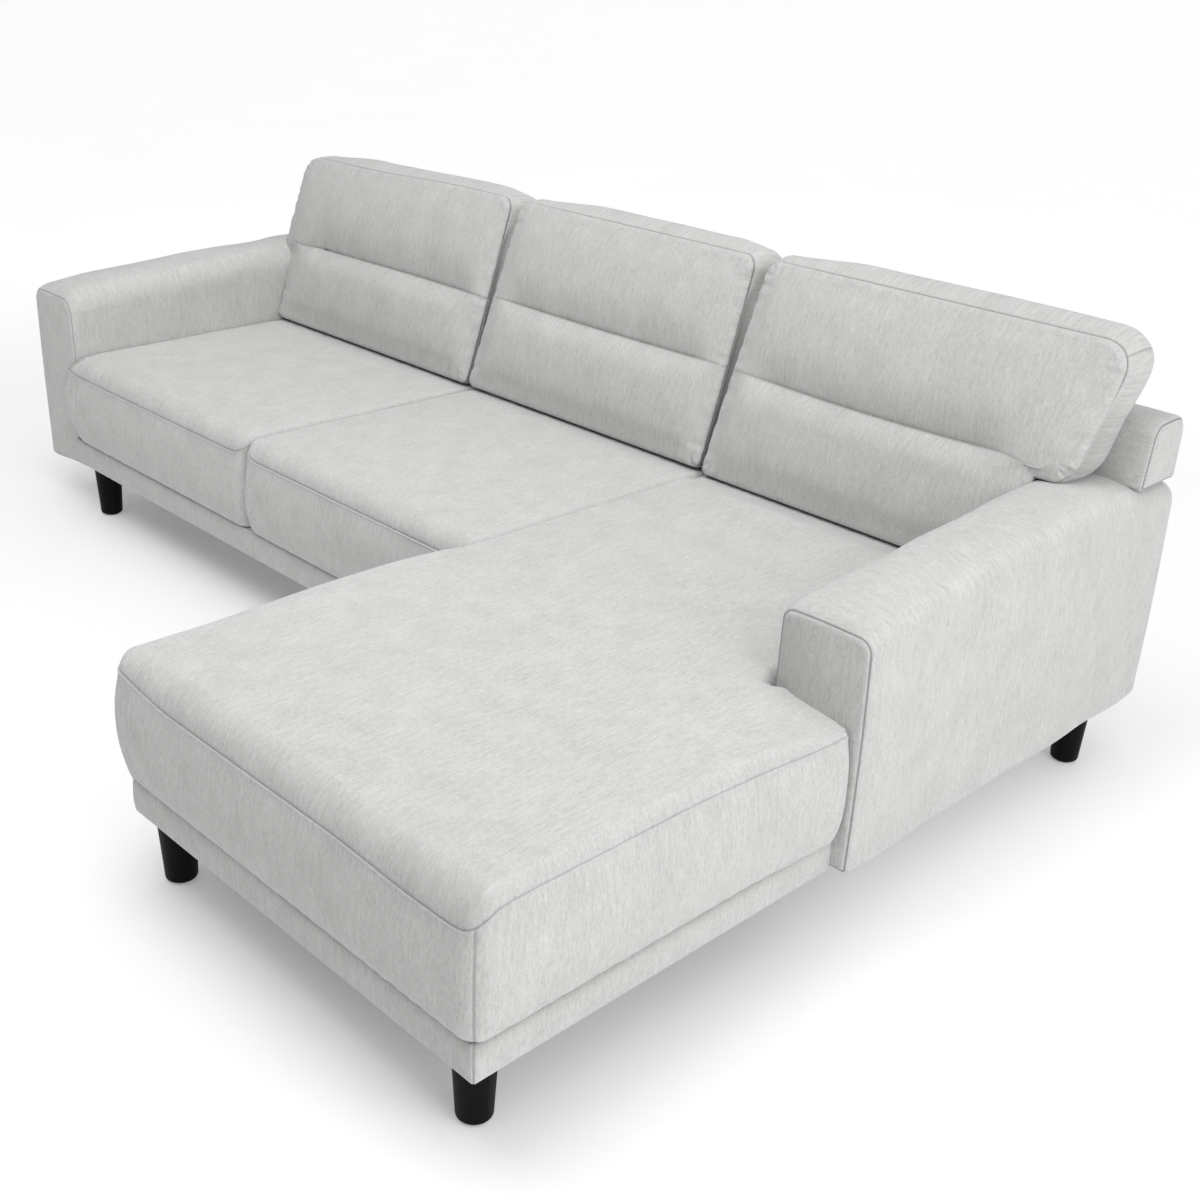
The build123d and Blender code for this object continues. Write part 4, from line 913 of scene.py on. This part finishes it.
    # the rear corners of the gusset fall away
    rear = np.where(lv_h < 0, np.clip(-lv_h, 0, 1) ** 0.8, 0) * smooth((s - S_TOP + 70) / 70)
    V[:, 1] -= rear * (26.0 * smooth((xb[0] + 250 - x) / 250) + (5.0 if right_over else 17.0) * smooth((x - xb[-1] + 130) / 130))
    if left_over:
        V[:, 1] -= 13.0 * smooth((-540 - x) / 450) * smooth((s - 200) / 230) * (1 - 0.5 * rear)
    down = np.where(on & (lv_h < 0), np.clip(-o[:, 1], 0, 1), 0) * (s < 100)
    V[:, 1] = np.where(down > 0.3, np.maximum(V[:, 1], 0.0), V[:, 1])
    # behind the seam the upright sides are drawn in
    V[:, 0] -= np.where(wl & (lv_h < 0) & (np.abs(o[:, 0]) > 0.8), np.sign(o[:, 0]) * 10.0 * np.exp(-((lv_h + 0.13) / 0.09) ** 2), 0) * smooth((S_TOP - 60 - s) / 60)
    # the sides draw in towards the top, and a free end flares out
    front = np.where(lv_h < 0, 1 - 0.75 * np.clip(-lv_h * 1.6, 0, 1), 1.0)
    draw = 15.0 * np.clip(V[:, 1] / S_TOP, 0, 1) ** 1.25 * front
    if not left_over:
        V[:, 0] += draw * smooth((lo + 110 - x) / 110)
    if not right_over:
        V[:, 0] -= draw * smooth((x - hi + 110) / 110)
    if right_over:
        V[:, 0] += 26.0 * smooth((V[:, 1] - S_STEP) / 230) * smooth((x - hi + 60) / 160)
    if left_over:
        V[:, 0] += 4.0 * smooth((V[:, 1] - S_TUCK) / 200) * smooth((lo + 60 - x) / 90)
    # between the arms an end swells over the rounded edge of the arm
    fs = np.where(s <= S_STEP, smooth((s - 90) / 100), 1 - smooth((s - S_STEP) / 90))
    if right_over:
        V[:, 0] += 23.0 * fs * np.where(x <= hi, smooth((x - hi + 70) / 70), 1 - smooth((x - hi) / right_over))
    if left_over:
        V[:, 0] -= 15.0 * fs * np.where(x >= lo, smooth((lo + 70 - x) / 70), 1 - smooth((lo - x) / left_over))
    # an end between the arms is squeezed flat
    ins = sl.levels[sl.lev, 1]
    flat = np.where(lv_h >= 0, 0.75 * np.maximum(ins - 2.0, 0), 0) * smooth((S_STEP + 4 - s) / 24)
    if right_over:
        V[:, 0] += flat * smooth((x - hi + 70) / 70) * (x < hi + 1)
    if left_over:
        V[:, 0] -= flat * smooth((lo + 70 - x) / 70) * (x > lo - 1)
    V[:, 1] -= sag * (1 - smooth(s / 150))
    # behind the front seam the depth runs level to the back
    hh = V[:, 2]
    back = np.where(hh < 0, -hh * thick(V[:, 1]), 0.0)
    V[:, 2] = np.maximum(hh, 0)
    # painted shade in the seam grooves of the gusset
    painted_shade = np.where(wl, np.exp(-((np.where(lv_h < 0, lv_h * 130, lv_h)) / 1.8) ** 2), 0)
    if right_over:
        # the gusset is joined near its upper corner, with painted shade in the join
        i = np.argmin(np.hypot(sl.loop_x - (xb[-1] - 10), sl.loop_y - (S_TOP - 24)))
        g = np.abs(sr - sl.around[i])
        painted_shade = np.maximum(painted_shade, np.where(on & (lv_h < 0), 0.5 * np.exp(-(g / 1.5) ** 2), 0))
    # painted shade along the tuck crease on the front panel
    painted_shade = np.maximum(painted_shade, np.where(t, 0.55 * np.exp(-(dt / 2.4) ** 2) * smooth(ends / 8.0), 0))
    # painted shade on the upright sides behind the front seam, fading out towards the top, for the shaded gaps between
    # the cushions
    painted_shade = np.maximum(painted_shade, np.where(wl & (lv_h < -0.04) & (np.abs(o[:, 0]) > 0.8), 0.3 * smooth((S_TOP - 70 - s) / 120), 0))
    # painted shade where the tuck crease runs round the edge of the front panel
    painted_shade = np.maximum(painted_shade, np.where(wl & (lv_h > 0), 0.5 * np.exp(-((s - S_TUCK) / 2.4) ** 2), 0))
    V = V @ np.array([(1, 0, 0), ES, EN]) + np.array(ORG)
    V[:, 1] += back
    ob = build(name, sl, V, XYZ, O0, FAB, seam=painted_shade)
    return finish_piece(ob, body, nodes)


cushion("back_cushion_left", "left_back_cushion", -1183.0, -355.5, 52.0, 0.0, 131, 0.0, 0.0, ["left_back_cushion_lower", "left_back_cushion_upper"])
cushion("back_cushion_middle", "middle_back_cushion", -350.5, 427.5, 0.0, 0.0, 149, 5.0, 0.0, ["middle_back_cushion_lower", "middle_back_cushion_upper"])
cushion("back_cushion_right", "right_back_cushion", 432.5, 1157.5, 0.0, 98.0, 167, 10.0, 7.0, ["right_back_cushion_lower", "right_back_cushion_upper"])

# ------------------------------------------------------------------ floor, light, camera
def floor_mat():
    m, nt, b = new_mat("floor_pale_glowing")
    v = object_coords(nt)
    f = noise(nt, v, 1.5, 2.0)
    nt.links.new(ramp(nt, f, [(0.3, (0.78, 0.78, 0.78)), (0.7, (0.80, 0.80, 0.80))]), b.inputs["Base Color"])
    b.inputs["Roughness"].default_value = 0.6
    b.inputs["Specular IOR Level"].default_value = 0.15
    # painted light: the floor glows as well as reflecting, weakly near the sofa and more strongly far off, which
    # whitens the backdrop and lifts the shadows near the sofa
    b.inputs["Emission Color"].default_value = (1, 1, 1, 1)
    far = node(nt, "ShaderNodeVectorMath", operation="LENGTH")
    nt.links.new(v, far.inputs[0])
    mr = node(nt, "ShaderNodeMapRange", interpolation_type="SMOOTHSTEP")
    mr.inputs["From Min"].default_value, mr.inputs["From Max"].default_value = 1.6, 4.2
    mr.inputs["To Min"].default_value, mr.inputs["To Max"].default_value = 0.24, 0.42
    nt.links.new(far.outputs["Value"], mr.inputs["Value"])
    nt.links.new(mr.outputs["Result"], b.inputs["Emission Strength"])
    return m


me = bpy.data.meshes.new("floor")
me.from_pydata([(-60, -60, 0), (60, -60, 0), (60, 60, 0), (-60, 60, 0)], [], [(0, 1, 2, 3)])
floor = bpy.data.objects.new("floor", me)
me.materials.append(floor_mat())
bpy.context.scene.collection.objects.link(floor)

world = bpy.data.worlds.new("studio")
bpy.context.scene.world = world
world.use_nodes = True
bg = world.node_tree.nodes["Background"]
bg.inputs["Color"].default_value = (1, 1, 1, 1)
wt = world.node_tree
sep = node(wt, "ShaderNodeSeparateXYZ")
wt.links.new(node(wt, "ShaderNodeTexCoord").outputs["Generated"], sep.inputs[0])
# the ceiling and the far side of the studio glow; the near side is dark
g = math_node(wt, "MULTIPLY_ADD", sep.outputs["Z"], 1.3, math_node(wt, "MULTIPLY_ADD", sep.outputs["Y"], 0.8, math_node(wt, "MULTIPLY_ADD", sep.outputs["X"], 0.3, 0.1)))
gr = node(wt, "ShaderNodeMapRange", interpolation_type="SMOOTHSTEP")
gr.inputs["From Min"].default_value, gr.inputs["From Max"].default_value = 0.0, 0.95
gr.inputs["To Min"].default_value, gr.inputs["To Max"].default_value = 0.03, 0.62
wt.links.new(g, gr.inputs["Value"])
wt.links.new(gr.outputs["Result"], bg.inputs["Strength"])


def area(name, loc, aim, size, power):
    L = bpy.data.lights.new(name, "AREA")
    L.shape = "DISK"
    L.size = size
    L.energy = power
    ob = bpy.data.objects.new(name, L)
    ob.visible_camera = False
    ob.location = loc
    ob.rotation_mode = "QUATERNION"
    ob.rotation_quaternion = (Vector(aim) - Vector(loc)).to_track_quat("-Z", "Y")
    bpy.context.scene.collection.objects.link(ob)
    return ob


sun = bpy.data.lights.new("key", "SUN")
sun.energy = math.pi * 0.22
sun.angle = math.radians(60)
key = bpy.data.objects.new("key", sun)
key.rotation_mode = "QUATERNION"
key.rotation_quaternion = Vector((-0.12, 0.12, -0.60)).to_track_quat("-Z", "Y")
bpy.context.scene.collection.objects.link(key)

area("side", (3.6, -0.3, 1.5), (0.9, -0.2, 0.3), 2.4, 27.0)
area("over", (0.25, -0.85, 3.1), (0.1, 0.45, 0.4), 2.2, 35.0)

cam = bpy.data.cameras.new("camera")
cam.sensor_width = 36.0
cam.sensor_fit = "HORIZONTAL"
cam.lens = 1531.985 * 36.0 / 1200.0
cam.clip_start, cam.clip_end = 0.05, 200.0
camob = bpy.data.objects.new("camera", cam)
az, el, roll = math.radians(44.7569), math.radians(24.5862), math.radians(2.5013)
back = Vector((math.sin(az) * math.cos(el), -math.cos(az) * math.cos(el), math.sin(el)))
right = Vector((math.cos(az), math.sin(az), 0))
up = back.cross(right)
r2 = right * math.cos(roll) + up * math.sin(roll)
u2 = -right * math.sin(roll) + up * math.cos(roll)
mw = Matrix((r2, u2, back)).transposed().to_4x4()
mw.translation = Vector((2.4884, -1.8440, 1.5324))
camob.matrix_world = mw
bpy.context.scene.collection.objects.link(camob)
bpy.context.scene.camera = camob
bpy.context.scene.view_settings.view_transform = "Standard"
